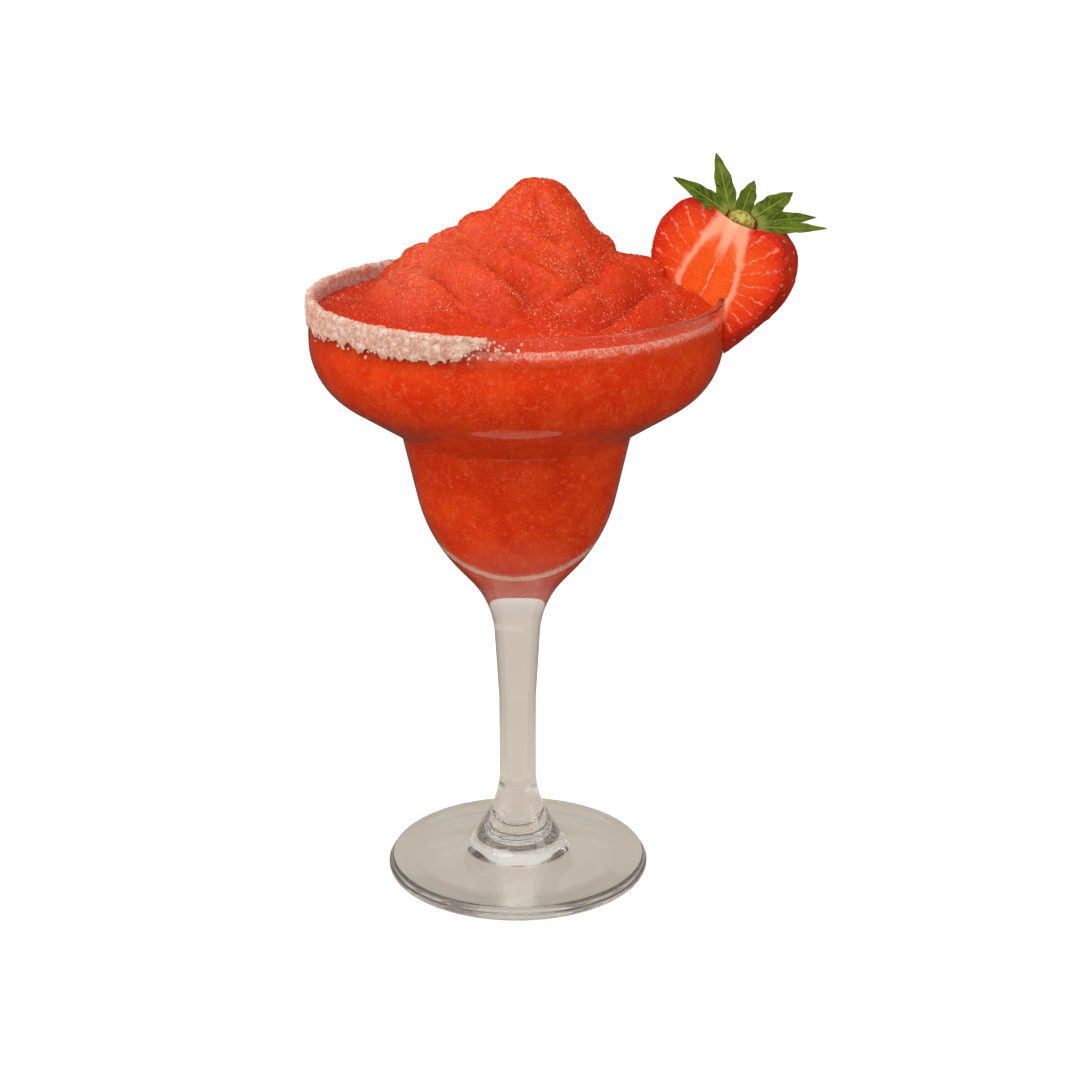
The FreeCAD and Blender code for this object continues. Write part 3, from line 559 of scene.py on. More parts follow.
def makeSlushFinish(name, shine):
    # shine is lower where the slush lies against glass
    sizes = slushPlan
    colours = sizes["colours"]
    finish = Finish(name)
    where = finish.place()
    up = finish.axis(where, 2)
    cloud = finish.noise(where, 9.0, 3.0, 0.6)
    blotch = finish.noise(where, 2.4, 3.0, 0.65)
    grain = finish.noise(where, 0.55, 2.0, 0.7)
    crystal = finish.cells(where, 0.85)
    depth = finish.mix(cloud.above(0.36, 0.68), colours["deep"], colours["lit"])
    depth = finish.mix(blotch.above(0.5, 0.72) * 0.45, depth, colours["blotch"])
    depth = finish.mix(grain.above(0.56, 0.74) * 0.34, depth, colours["grain"])
    speckle = finish.noise(where, 1.2, 2.0, 0.5).above(0.60, 0.68)
    depth = finish.mix(speckle * 0.13, depth, colours["speckle"])
    # paler in grain on the upper left slope: a painted highlight where the key lamp falls
    east = finish.axis(where, 0)
    paintedLeftSheen = east.below(-34, 6) * up.above(170, 178) * grain.above(0.40, 0.60)
    depth = finish.mix(paintedLeftSheen * 0.34, depth, colours["paintedLeftSheen"])
    # painted shade: redder where the heap lies low by the wall and on the right, away from the
    # light
    low = up.above(163, 166) * up.below(170, 181) * 0.55
    right = east.above(14, 40) * up.above(163, 166) * 0.5
    depth = finish.mix(low.maths("MAXIMUM", low, right), depth, colours["low"])
    # frost where the slush meets the wall below the rim; round the edge of the floor, a whitish arc
    # that is a painted highlight with frost speckle
    ragged = finish.noise(where, 2.2, 3.0, 0.7)
    wall = finish.length(finish.add("ShaderNodeVectorMath", {"operation": "MULTIPLY"},
                                    {0: where, 1: (1, 1, 0)}))
    line = up + (ragged - 0.5) * sizes["rimRagged"]
    topFrost = line.above(*sizes["rimFrost"]) * wall.above(wallInside - 0.4, wallInside)
    foot = up - east * east * sizes["footBend"] + (ragged - 0.5) * sizes["footRagged"]
    low, full, fading, gone = sizes["footFrostAndGlint"]
    # painted highlight with frost speckle, bent into an arc round the floor
    footFrostAndGlint = foot.below(fading, gone) * foot.above(low, full) * wall.above(14.6, 15.6)
    speck = finish.noise(where, 0.7, 1.0, 0.5).above(0.40, 0.60)
    depth = finish.mix(topFrost * (0.25 + 0.6 * speck), depth, colours["rimFrost"])
    depth = finish.mix(footFrostAndGlint * (0.55 + 0.45 * speck), depth, colours["footFrostAndGlint"])
    relief = finish.bump(grain + 0.8 * finish.noise(where, 0.28, 1.0), 0.22, 0.8)
    relief = finish.bump(crystal, 0.18, 0.6, relief)
    rough = finish.noise(where, 0.8, 1.0).above(0.45, 0.7) * 0.3 + 0.16
    return finish.solid({
        "Base Color": depth, "Roughness": rough, "IOR": 1.33, "Normal": relief,
        "Specular IOR Level": shine, "Subsurface Weight": 0.35,
        "Subsurface Radius": (1.0, 0.22, 0.10), "Subsurface Scale": 0.003})


slushFinish = makeSlushFinish("berrySlush", 0.5)
glassedFinish = makeSlushFinish("slushOnGlass", 0.05)


def makeHeap():
    sizes = slushPlan
    count = sizes["across"]
    east, north = heapGrid(count)
    east, north = east.ravel(), north.ravel()
    radius = wallInside + sizes["intoWall"]
    height = heapRise(east, north)
    flat = np.column_stack((east * radius, north * radius, height))
    # folds and drips, then grain, all gone at the wall
    inner = smoothStep(1 - np.hypot(east, north), 0.0, 0.06)
    (foldWide, foldHigh), (dripWide, dripHigh) = sizes["folds"], sizes["drips"]
    height = height + inner * (foldHigh * lumps(flat, foldWide, 1)
                               + dripHigh * lumps(flat, dripWide, 2))
    height = height + (0.35 + 0.65 * inner) * (0.5 * lumps(flat, 3.2, 6) * (1 - inner))
    points = np.column_stack((east * radius, north * radius, sizes["fill"] + height))
    grid = points.reshape(count, count, 3)
    slopeOne = np.gradient(grid, axis=0)
    slopeTwo = np.gradient(grid, axis=1)
    out = np.cross(slopeOne, slopeTwo).reshape(-1, 3)
    out /= np.linalg.norm(out, axis=1)[:, None] + 1e-12
    out *= np.sign(out[:, 2:3] + 1e-9)
    (wideA, highA), (wideB, highB), (wideC, highC) = sizes["granules"]
    granules = highA * lumps(points, wideA, 3) + highB * np.abs(lumps(points, wideB, 4)) \
        + highC * lumps(points, wideC, 5)
    points = points + out * (granules * (0.2 + 0.8 * inner))[:, None]
    index = np.arange(count * count).reshape(count, count)
    faces = np.stack((index[:-1, :-1], index[1:, :-1], index[1:, 1:], index[:-1, 1:]),
                     -1).reshape(-1, 4).tolist()
    edge = [*index[:, 0], *index[-1, 1:], *index[-2::-1, -1], *index[0, -2:0:-1]]
    total = count * count
    allPoints = points.tolist()
    for place in edge:
        allPoints.append([points[place][0], points[place][1], sizes["join"]])
    allPoints.append([0, 0, sizes["join"]])
    for step, place in enumerate(edge):
        after = (step + 1) % len(edge)
        faces.append([place, total + step, total + after, edge[after]])
        faces.append([total + after, total + step, total + len(edge)])
    piece = makePiece("slushHeap", allPoints, faces, [slushFinish], ["frozen_drink"])
    reach = np.hypot(points[:, 0], points[:, 1])
    share = smoothStep(sizes["iceReach"] - reach, 0, 1.5) * (0.12 + 0.88 * smoothStep(
        lumps(points, 9.0, 8), -0.2, 0.6))
    numbersOn(piece.data, "share", list(share) + [0.0] * (len(edge) + 1))
    return piece


def makeSlushBody():
    sizes = slushPlan
    grow = sizes["intoWall"]
    wall = roundedRun([(wallInside, sizes["join"], 0)] + glassPlan["inside"][1:])
    side = sizes["intoSide"] - grow
    line = filledRun(wall, sizes["step"])
    run = []
    for before, point, after in zip(line[:1] + line[:-1], line, line[1:] + line[-1:]):
        ahead = (after - before).normalized()
        reach = grow + side * float(smoothStep(point.y, *sizes["sideFrom"])
                                    * (1 - smoothStep(point.y, *sizes["sideTo"])))
        run.append(Vector((point.x - ahead.y * reach, point.y + ahead.x * reach)))
    run = [Vector((0, sizes["join"])), Vector((sizes["lidInner"], sizes["join"]))] + run
    points, faces = turned(run + floorRun(grow)[1:], sizes["around"])
    return makePiece("slushInGlass", points, [face[::-1] for face in faces], [glassedFinish])


heapPiece = makeHeap()
makeSlushBody()
print("slush made")


# loose ice on the heap

def makeIceFinish():
    finish = Finish("looseIce")
    luck = finish.marked("luck", "Fac")
    # the luckiest grains are painted near-white: painted glints
    colour = finish.mix(luck ** 3, tone(236, 92, 48), tone(255, 222, 200))
    return finish.solid({
        "Base Color": colour, "Roughness": 0.12, "IOR": 1.31,
        "Normal": finish.bump(finish.noise(finish.place(), 0.2), 0.05)})


iceSizes = {"sizes": (0.14, 0.44), "perSquareMm": 1.6, "seed": 21}
iceTree, iceValues = scatterTree("iceGrains", chip("iceShape", 0.18, 5), makeIceFinish(),
                                 **iceSizes)
scattered("looseIce", heapPiece.data, iceTree, iceValues)
print("loose ice made")


# salt round the rim

saltPlan = {
    "from": 95.0, "to": 263.0,     # bearings, degrees
    "rim": rimUp, "outer": wallOutside, "inner": wallInside,
    "outerDepth": 5.2, "innerDepth": 4.6,
    "thick": 0.5, "cap": 0.6,
    "intoWall": 0.1,
    "around": 780, "across": 62,
    "crystals": ((0.14, 0.42), 6.0, 31),     # widths, how many to a square mm, seed
    "loose": ((0.25, 0.75), 2.4, 33),
    # the grid that the loose grains lie on
    "looseAt": 56.12, "looseDown": 0.42, "looseRows": 24, "looseTurn": 0.5,
    "colours": {"dull": tone(226, 170, 148), "pale": tone(246, 222, 208),
                # painted light: near-white glints, and the pink of the red drink seen through the
                # salt
                "sparkle": tone(252, 242, 234), "stain": tone(228, 128, 98)},
}


def saltSection(outerDepth, innerDepth):
    # the line over the rim, from the foot of the outer leg to the foot of the inner leg,
    # with the way out and the thickness at each place
    sizes = saltPlan
    count = sizes["across"]
    rimRound = (sizes["outer"] - sizes["inner"]) / 2
    middle = (sizes["outer"] + sizes["inner"]) / 2
    top = sizes["rim"] - rimRound
    bend = math.pi * rimRound * 1.6
    total = outerDepth + bend + innerDepth
    rows = []
    for step in range(count):
        along = total * step / (count - 1)
        if along < outerDepth:
            low = along / outerDepth
            rows.append((sizes["outer"], top - outerDepth + along, 1, 0, low))
        elif along < outerDepth + bend:
            angle = math.pi * (along - outerDepth) / bend
            rows.append((middle + rimRound * math.cos(angle), top + rimRound * math.sin(angle),
                         math.cos(angle), math.sin(angle), 1))
        else:
            low = (total - along) / innerDepth
            rows.append((sizes["inner"], top - (along - outerDepth - bend), -1, 0, low))
    return np.array(rows)


def makeSaltFinish():
    colours = saltPlan["colours"]
    finish = Finish("rimSalt")
    where = finish.place()
    lump = finish.noise(where, 1.6, 3.0, 0.65)
    fine = finish.noise(where, 0.35, 2.0, 0.7)
    stain = finish.noise(where, 5.0, 2.0, 0.6)
    colour = finish.mix(lump.above(0.40, 0.66), colours["dull"], colours["pale"])
    # fine near-white spots: painted glints
    colour = finish.mix(fine.above(0.5, 0.7) * 0.4, colour, colours["sparkle"])
    # pinker in blotches: a painted tint of the red drink showing through the salt
    colour = finish.mix(stain.above(0.50, 0.70) * 0.6, colour, colours["stain"])
    relief = finish.bump(finish.cells(where, 0.5), 0.22, 0.9)
    relief = finish.bump(fine, 0.12, 0.7, relief)
    rough = 0.25 + 0.4 * fine
    return finish.solid({
        "Base Color": colour, "Roughness": rough, "IOR": 1.5, "Normal": relief,
        "Subsurface Weight": 0.25, "Subsurface Radius": (1.0, 0.7, 0.6),
        "Subsurface Scale": 0.0012})


saltFinish = makeSaltFinish()


def makeSalt():
    sizes = saltPlan
    bearings = np.linspace(sizes["from"], sizes["to"], sizes["around"])
    rimWalk = np.radians(bearings)
    circle = np.column_stack((np.cos(rimWalk) * wallOutside,
                              np.sin(rimWalk) * wallOutside, rimWalk * 0))
    edgeOut = 1 + 0.20 * lumps(circle, 7.0, 31) + 0.22 * lumps(circle, 2.2, 32) \
        + 0.14 * lumps(circle, 0.9, 33)
    edgeIn = 1 + 0.20 * lumps(circle, 6.0, 34) + 0.18 * lumps(circle, 1.8, 35)
    ends = smoothStep(bearings - sizes["from"], 0, 7) * smoothStep(sizes["to"] - bearings, 0, 9)
    crestPoints = []
    for index, angle in enumerate(rimWalk):
        fade = 0.25 + 0.75 * ends[index]
        rows = saltSection(sizes["outerDepth"] * edgeOut[index] * fade,
                           sizes["innerDepth"] * edgeIn[index] * fade)
        turn = np.array([math.cos(angle), math.sin(angle)])
        foot = smoothStep(rows[:, 4], 0.0, 0.22)
        thick = (sizes["thick"] + (sizes["cap"] - sizes["thick"]) * np.abs(rows[:, 3])) * foot
        crestPoints.append((rows, turn, thick * (0.2 + 0.8 * ends[index])))
    base = np.array([[[row[0] * turn[0], row[0] * turn[1], row[1]] for row in rows]
                     for rows, turn, _ in crestPoints])
    out = np.array([[[row[2] * turn[0], row[2] * turn[1], row[3]] for row in rows]
                    for rows, turn, _ in crestPoints])
    thick = np.array([thick for _, _, thick in crestPoints])
    flat = base.reshape(-1, 3)
    body = 0.72 + 0.42 * lumps(flat, 2.4, 36) + 0.30 * lumps(flat, 1.1, 37) \
        + 0.20 * lumps(flat, 0.55, 38)
    lift = thick * np.maximum(body.reshape(thick.shape), 0.12)
    outer = base + out * lift[..., None]
    inner = base - out * sizes["intoWall"]
    across = sizes["across"]
    loop = np.concatenate((outer, inner[:, ::-1]), axis=1)
    count = loop.shape[1]
    points = loop.reshape(-1, 3)
    faces = tubeFaces(sizes["around"], count)
    faces.append(tuple(range(count)))
    last = (sizes["around"] - 1) * count
    faces.append(tuple(range(last + count - 1, last - 1, -1)))
    piece = makePiece("saltCrust", points, faces, [saltFinish], ["rim_salt"])
    share = np.zeros(loop.shape[:2])
    share[:, 2:across - 2] = 1
    numbersOn(piece.data, "share", share)
    return piece


def looseSaltGround():
    # a skin on the wall just under the crust and past its ends, where single grains cling
    points, faces, share = [], [], []
    sizes = saltPlan
    across = sizes["looseRows"]
    radius = sizes["looseAt"]
    bearings = np.arange(sizes["from"] - 4, sizes["to"] + 13, sizes["looseTurn"])
    for bearing in bearings:
        angle = math.radians(bearing)
        past = max(bearing - sizes["to"] + 5, sizes["from"] + 3 - bearing, 0) / 16
        for step in range(across):
            up = sizes["rim"] - 0.4 - step * sizes["looseDown"]
            points.append((radius * math.cos(angle) * mm, radius * math.sin(angle) * mm, up * mm))
            under = max(0, (sizes["rim"] - up - sizes["outerDepth"] + 1.4) / 4)
            if past > 0:
                here = max(0, 1 - past) ** 1.5 * max(0, 1 - (sizes["rim"] - up) / 6.5)
            else:
                here = math.exp(-(under * 2.2) ** 2) * (1 if under > 0 else 0) * 0.8
            share.append(here)
    for ring in range(len(bearings) - 1):
        for step in range(across - 1):
            start = ring * across + step
            faces.append((start, start + 1, start + across + 1, start + across))
    mesh = bpy.data.meshes.new("saltGround")
    mesh.from_pydata(points, [], faces)
    numbersOn(mesh, "share", share)
    return mesh


saltPiece = makeSalt()
saltShape = chip("saltShape", 0.16, 9, square=True)
for name, ground, grains in (("saltCrystals", saltPiece.data, "crystals"),
                             ("looseSalt", looseSaltGround(), "loose")):
    saltTree, saltValues = scatterTree(name, saltShape, saltFinish, *saltPlan[grains])
    scattered(name, ground, saltTree, saltValues)
print("salt made")


# strawberry, halved, sitting on the rim

berryPlan = {
    "place": (59.9, 0.0, 188.4), "tilt": 23.0,
    "cutBearing": -116.0, "cutOffset": 5.5,
    "line": [(0, -44.4, 0), (4.5, -42.4, 4.0), (9.6, -36.0, 16), (18.6, -17.5, 22),
             (19.9, -9.5, 9.0), (17.2, -1.0, 6.0), (12.0, 2.3, 4.0), (6.5, 0.2, 5.0),
             (0, -2.2, 0)],
    "around": 170, "cell": 0.55,
    "seeds": 190, "seedTurn": 2.39996, "seedSize": 1.25, "seedSunk": 0.28,
    "dimple": (0.55, 0.95),     # depth and width of the pit round a seed
    "dimpleLip": (0.22, 1.9, 0.8),     # height, reach and width of the swelling round it
    "slotWide": 0.03, "slotFrom": 140,
    # the heart of the cut face: how far down it lies, and its half length and half widths,
    # squared, in the colour and in the relief
    "heartDown": 20.5, "heartLong": 380, "heartWide": 52, "swellWide": 33,
    "colours": {
        "flesh": tone(234, 78, 16), "outerFlesh": tone(218, 48, 6), "underSkin": tone(196, 30, 8),
        "pale": tone(247, 176, 142), "thread": tone(248, 170, 132), "heart": tone(238, 92, 22),
        "streak": tone(232, 78, 26), "wedge": tone(250, 190, 158), "line": tone(252, 196, 160),
        "grain": tone(252, 170, 120), "skin": tone(166, 24, 8), "skinLit": tone(196, 44, 14),
        "skinFleck": tone(206, 66, 34), "seed": tone(196, 128, 44), "seedLit": tone(222, 176, 84)},
}
berryFrame = (Matrix.Translation(berryPlan["place"])
              @ Matrix.Rotation(math.radians(berryPlan["tilt"]), 4, "Y"))


def inBerry(points):
    # points in the berry's own frame, moved to where it sits
    turn = np.array(berryFrame.to_3x3())
    return np.asarray(points, float) @ turn.T + np.array(berryFrame.translation)


def berryRows():
    return filledRun(roundedRun(berryPlan["line"], 0.3), berryPlan["cell"])


def seedPlaces():
    # achenes follow a spiral over the skin
    rows = berryRows()
    lengths = [0.0]
    for low, high in zip(rows, rows[1:]):
        lengths.append(lengths[-1] + (high - low).length * (low.x + high.x) / 2)
    places = []
    for index in range(berryPlan["seeds"]):
        reached = (index + 0.8) / berryPlan["seeds"] * lengths[-1] * 0.90
        row = int(np.searchsorted(lengths, reached))
        row = min(max(row, 1), len(rows) - 2)
        angle = index * berryPlan["seedTurn"]
        along = (rows[row + 1] - rows[row - 1]).normalized()
        spot = rows[row]
        out = Vector((along.y * math.cos(angle), along.y * math.sin(angle), -along.x))
        places.append((Vector((spot.x * math.cos(angle), spot.x * math.sin(angle), spot.y)), out))
    return places


def makeFleshFinish():
    sizes = berryPlan
    colours = sizes["colours"]
    finish = Finish("berryFlesh")
    spot = finish.marked("cutPlace")
    side = finish.axis(spot, 0)
    along = finish.axis(spot, 1)
    fromEdge = finish.axis(spot, 2)
    waver = finish.noise(spot, 4.0, 2.0, 0.6) - 0.5
    grain = finish.noise(spot, 0.7, 2.0, 0.7)
    lean = side + waver * 3.0
    fromHeart = along + sizes["heartDown"]
    core = (lean * lean / sizes["heartWide"] + fromHeart * fromHeart / sizes["heartLong"]) ** 0.5
    colour = finish.mix(fromEdge.below(1.0, 8.5), colours["flesh"], colours["outerFlesh"])
    colour = finish.mix(fromEdge.below(0.2, 2.6), colour, colours["underSkin"])
    # pale band round the core, widest under the leaves
    band = core.above(0.86, 1.02) * core.below(1.05, 1.28)
    crown = along.above(-13, -3) * (lean * lean).below(8, 45)
    pale = band.maths("MINIMUM", band + crown, 1.0)
    colour = finish.mix(pale * 0.85, colour, colours["pale"])
    # threads that run from the band to the skin
    angle = side.maths("ARCTAN2", side, along + 17)
    thread = abs((angle * 12.5 + waver * 2.4).sine()).below(0.04, 0.34)
    broken = finish.noise(spot, 1.3, 2.0, 0.6).above(0.36, 0.58)
    thread = thread * core.above(1.15, 1.45) * fromEdge.above(0.5, 2.0) * broken
    colour = finish.mix(thread * 0.62, colour, colours["thread"])
    heart = core.below(0.74, 0.96)
    colour = finish.mix(heart, colour, colours["heart"])
    streak = (lean * lean).below(0.05, 2.4) * heart * along.above(-34, -26)
    colour = finish.mix(streak * 0.5, colour, colours["streak"])
    wedge = (side * side).below(0.4, 3.2) * along.above(-13, -5)
    colour = finish.mix(wedge * 0.75, colour, colours["wedge"])
    line = (lean * lean).below(0.01, 0.09) * along.above(-32, -28) * along.below(-14, -9)
    colour = finish.mix(line * broken * 0.8, colour, colours["line"])
    colour = finish.mix(grain.above(0.56, 0.76) * 0.30, colour, colours["grain"])
    relief = finish.bump(grain + pale * 0.8 + thread * 0.8, 0.16, 0.8)
    rough = 0.16 + 0.3 * finish.noise(spot, 1.4, 1.0)
    return finish.solid({
        "Base Color": colour, "Roughness": rough, "IOR": 1.36, "Normal": relief,
        "Specular IOR Level": 0.3, "Subsurface Weight": 0.25,
        "Subsurface Radius": (1.0, 0.3, 0.12), "Subsurface Scale": 0.002})


def makeSkinFinish():
    colours = berryPlan["colours"]
    finish = Finish("berrySkin")
    where = finish.place()
    broad = finish.noise(where, 11.0, 2.0)
    fine = finish.noise(where, 0.9, 2.0, 0.6)
    colour = finish.mix(broad.above(0.35, 0.7), colours["skin"], colours["skinLit"])
    colour = finish.mix(fine.above(0.5, 0.75) * 0.35, colour, colours["skinFleck"])
    relief = finish.bump(fine, 0.10, 0.6)
    return finish.solid({
        "Base Color": colour, "Roughness": 0.20 + 0.2 * fine, "IOR": 1.42, "Normal": relief,
        "Subsurface Weight": 0.15, "Subsurface Radius": (1.0, 0.25, 0.1),
        "Subsurface Scale": 0.002})


def isWithin(outline, spot):
    # whether a spot lies inside a closed outline
    ahead = np.roll(outline, -1, axis=0)
    crosses = ((outline[:, 1] > spot[1]) != (ahead[:, 1] > spot[1]))
    rise = np.where(ahead[:, 1] == outline[:, 1], 1e-9, ahead[:, 1] - outline[:, 1])
    at = outline[:, 0] + (spot[1] - outline[:, 1]) / rise * (ahead[:, 0] - outline[:, 0])
    return np.count_nonzero(crosses & (spot[0] < at)) % 2 == 1


def makeBerry():
    sizes = berryPlan
    offset = sizes["cutOffset"]
    facing = math.radians(sizes["cutBearing"])
    out = np.array([math.cos(facing), math.sin(facing), 0.0])
    sideways = np.array([-math.sin(facing), math.cos(facing), 0.0])
    rows = berryRows()
    around = sizes["around"]
    places = seedPlaces()
    seedSpots = np.array([tuple(spot) for spot, _ in places])
    grid = []
    normals = []
    for index, row in enumerate(rows):
        low, high = rows[max(index - 1, 0)], rows[min(index + 1, len(rows) - 1)]
        slope = (high - low).normalized()
        start = math.acos(offset / row.x) if row.x > offset else 0.0
        angle = facing + start + (2 * math.pi - 2 * start) * np.arange(around + 1) / around
        grid.append(np.column_stack((row.x * np.cos(angle), row.x * np.sin(angle),
                                     np.full(around + 1, row.y))))
        normals.append(np.column_stack((slope.y * np.cos(angle), slope.y * np.sin(angle),
                                        np.full(around + 1, -slope.x))))
    grid, normals = np.array(grid), np.array(normals)
    flat, away = grid.reshape(-1, 3), normals.reshape(-1, 3)
    nearest = np.full(len(flat), 99.0)
    for spot in seedSpots:
        nearest = np.minimum(nearest, np.linalg.norm(flat - spot, axis=1))
    (deep, wide), (lip, lipAway, lipWide) = sizes["dimple"], sizes["dimpleLip"]
    lift = 0.35 * lumps(flat, 8.0, 51) + 0.10 * lumps(flat, 2.0, 52) \
        - deep * np.exp(-(nearest / wide) ** 2) \
        + lip * np.exp(-((nearest - lipAway) / lipWide) ** 2)
    radius = np.hypot(flat[:, 0], flat[:, 1])
    lift *= smoothStep(radius, 0.3, 3.0)
    flat = flat + away * lift[:, None]
    # nothing crosses the cut, and its edge stays in it
    over = flat @ out - offset
    grid = (flat - out * np.maximum(over, 0)[:, None]).reshape(len(rows), around + 1, 3)
    cut = [index for index, row in enumerate(rows) if row.x > offset]
    for index in cut:
        for column in (0, around):
            grid[index, column] -= out * (grid[index, column] @ out - offset)
    points = []
    ids = np.zeros((len(rows), around + 1), int)
    for index, row in enumerate(rows):
        for column in range(around + 1):
            if row.x < 1e-6 and column > 0:
                ids[index, column] = ids[index, 0]
            elif row.x <= offset and column == around:
                ids[index, column] = ids[index, 0]
            else:
                ids[index, column] = len(points)
                points.append(grid[index, column])
    faces = []
    for index in range(len(rows) - 1):
        for column in range(around):
            face = (ids[index, column], ids[index, column + 1],
                    ids[index + 1, column + 1], ids[index + 1, column])
            face = tuple(dict.fromkeys(int(corner) for corner in face))
            if len(face) > 2:
                faces.append(face)
    skinFaces = len(faces)
    loop = [int(ids[cut[0] - 1, 0])] + [int(ids[index, 0]) for index in cut] \
        + [int(ids[cut[-1] + 1, 0])] + [int(ids[index, around]) for index in reversed(cut)]
    loopFlat = np.array([[points[corner] @ sideways, points[corner][2]] for corner in loop])
    inner = []
    draw = random.Random(4)
    step = sizes["cell"]
    thickLoop = np.concatenate([loopFlat + (np.roll(loopFlat, -1, axis=0) - loopFlat) * part
                                for part in (0, 0.25, 0.5, 0.75)])
    for row in range(int(50 / step)):
        for column in range(int(44 / step)):
            spot = np.array([-22 + (column + 0.5 * (row % 2)) * step + draw.uniform(-.08, .08),
                             -46 + row * step + draw.uniform(-.08, .08)])
            gap = np.min(np.linalg.norm(thickLoop - spot, axis=1))
            if gap > 0.4 and isWithin(loopFlat, spot):
                inner.append((spot[0], spot[1], gap))
    flatPoints = [Vector(spot) for spot in loopFlat] + [Vector(spot[:2]) for spot in inner]
    edges = [(k, (k + 1) % len(loop)) for k in range(len(loop))]
    made, _, cutFaces, origin, _, _ = delaunay_2d_cdt(flatPoints, edges, [], 1, 1e-6)
    index = {}
    spots = np.array([(spot[0], spot[1], 0) for spot in inner])
    swell = 0.16 * lumps(spots, 3.0, 61) + 0.07 * lumps(spots, 1.0, 62)
    core = np.sqrt(spots[:, 0] ** 2 / sizes["swellWide"]
                   + (spots[:, 1] + sizes["heartDown"]) ** 2 / sizes["heartLong"])
    swell += 0.28 * np.exp(-((core - 1.05) / 0.14) ** 2) - 0.25 * smoothStep(1 - core, 0.1, 0.7)
    for k, made2d in enumerate(made):
        source = origin[k][0] if origin[k] else -1
        if 0 <= source < len(loop):
            index[k] = loop[source]
            continue
        number = source - len(loop)
        gap = inner[number][2] if source >= 0 else 0.0
        high = swell[number] * min(gap / 1.5, 1) if source >= 0 else 0.0
        index[k] = len(points)
        points.append(sideways * made2d.x + np.array([0, 0, made2d.y]) + out * (offset + high))
    for face in cutFaces:
        corners = [index[k] for k in face]
        a, b, c = (np.array(points[k]) for k in corners[:3])
        if np.cross(b - a, c - a) @ out < 0:
            corners.reverse()
        faces.append(tuple(corners))
    slots = [0] * skinFaces + [1] * (len(faces) - skinFaces)
    piece = makePiece("halfBerry", inBerry(points), faces, [makeSkinFinish(), makeFleshFinish()],
                      ["strawberry"], slotOfFace=slots)
    return piece, places, out, offset, thickLoop, sideways


def cutRimSlot(piece):
    # the slit that the glass wall stands in
    sizes = berryPlan
    wide, low = sizes["slotWide"], sizes["slotFrom"]
    inside, outside, top = wallInside - wide, wallOutside + wide, rimUp + wide
    ring = [Vector(corner) for corner in (
        (inside, low), (outside, low), (outside, 168.7), (55.8, 169.2), (55.3, top),
        (55.1, top), (54.6, 169.2), (inside, 168.7))]
    count = len(ring)
    points = []
    turns = np.radians(np.arange(-60, 61, 1.0))
    for angle in turns:
        for corner in ring:
            points.append((corner.x * math.cos(angle) * mm, corner.x * math.sin(angle) * mm,
                           corner.y * mm))
    faces = tubeFaces(len(turns), count)
    faces += [tuple(range(count)), tuple(len(points) - 1 - k for k in range(count))]
    mesh = bpy.data.meshes.new("slit")
    mesh.from_pydata(points, [], faces)
    shape = bmesh.new()
    shape.from_mesh(mesh)
    bmesh.ops.recalc_face_normals(shape, faces=shape.faces)
    shape.to_mesh(mesh)
    shape.free()
    cutter = put("slit", mesh)
    modifier = piece.modifiers.new("slit", "BOOLEAN")
    modifier.operation = "DIFFERENCE"
    modifier.solver = "EXACT"
    modifier.object = cutter
    bpy.context.view_layer.update()
    ready = piece.evaluated_get(bpy.context.evaluated_depsgraph_get())
    cutMesh = bpy.data.meshes.new_from_object(ready)
    piece.modifiers.clear()
    piece.data = cutMesh
    cutMesh.name = piece.name
    bpy.data.objects.remove(cutter)


def markCutPlace(piece, outline, sideways):
    # how far across, along and in from the skin each point of the berry lies
    spots = np.array([tuple(point.co) for point in piece.data.vertices]) / mm
    turn = np.array(berryFrame.to_3x3())
    own = (spots - np.array(berryFrame.translation)) @ turn
    flat = np.column_stack((own @ sideways, own[:, 2]))
    gaps = np.array([np.min(np.hypot(outline[:, 0] - spot[0], outline[:, 1] - spot[1]))
                     for spot in flat])
    numbersOn(piece.data, "cutPlace", np.column_stack((flat, gaps)), "FLOAT_VECTOR")


berryPiece, seedSpots, cutFacing, cutOffset, cutOutline, cutAcross = makeBerry()
cutRimSlot(berryPiece)
markCutPlace(berryPiece, cutOutline, cutAcross)
print("strawberry made")


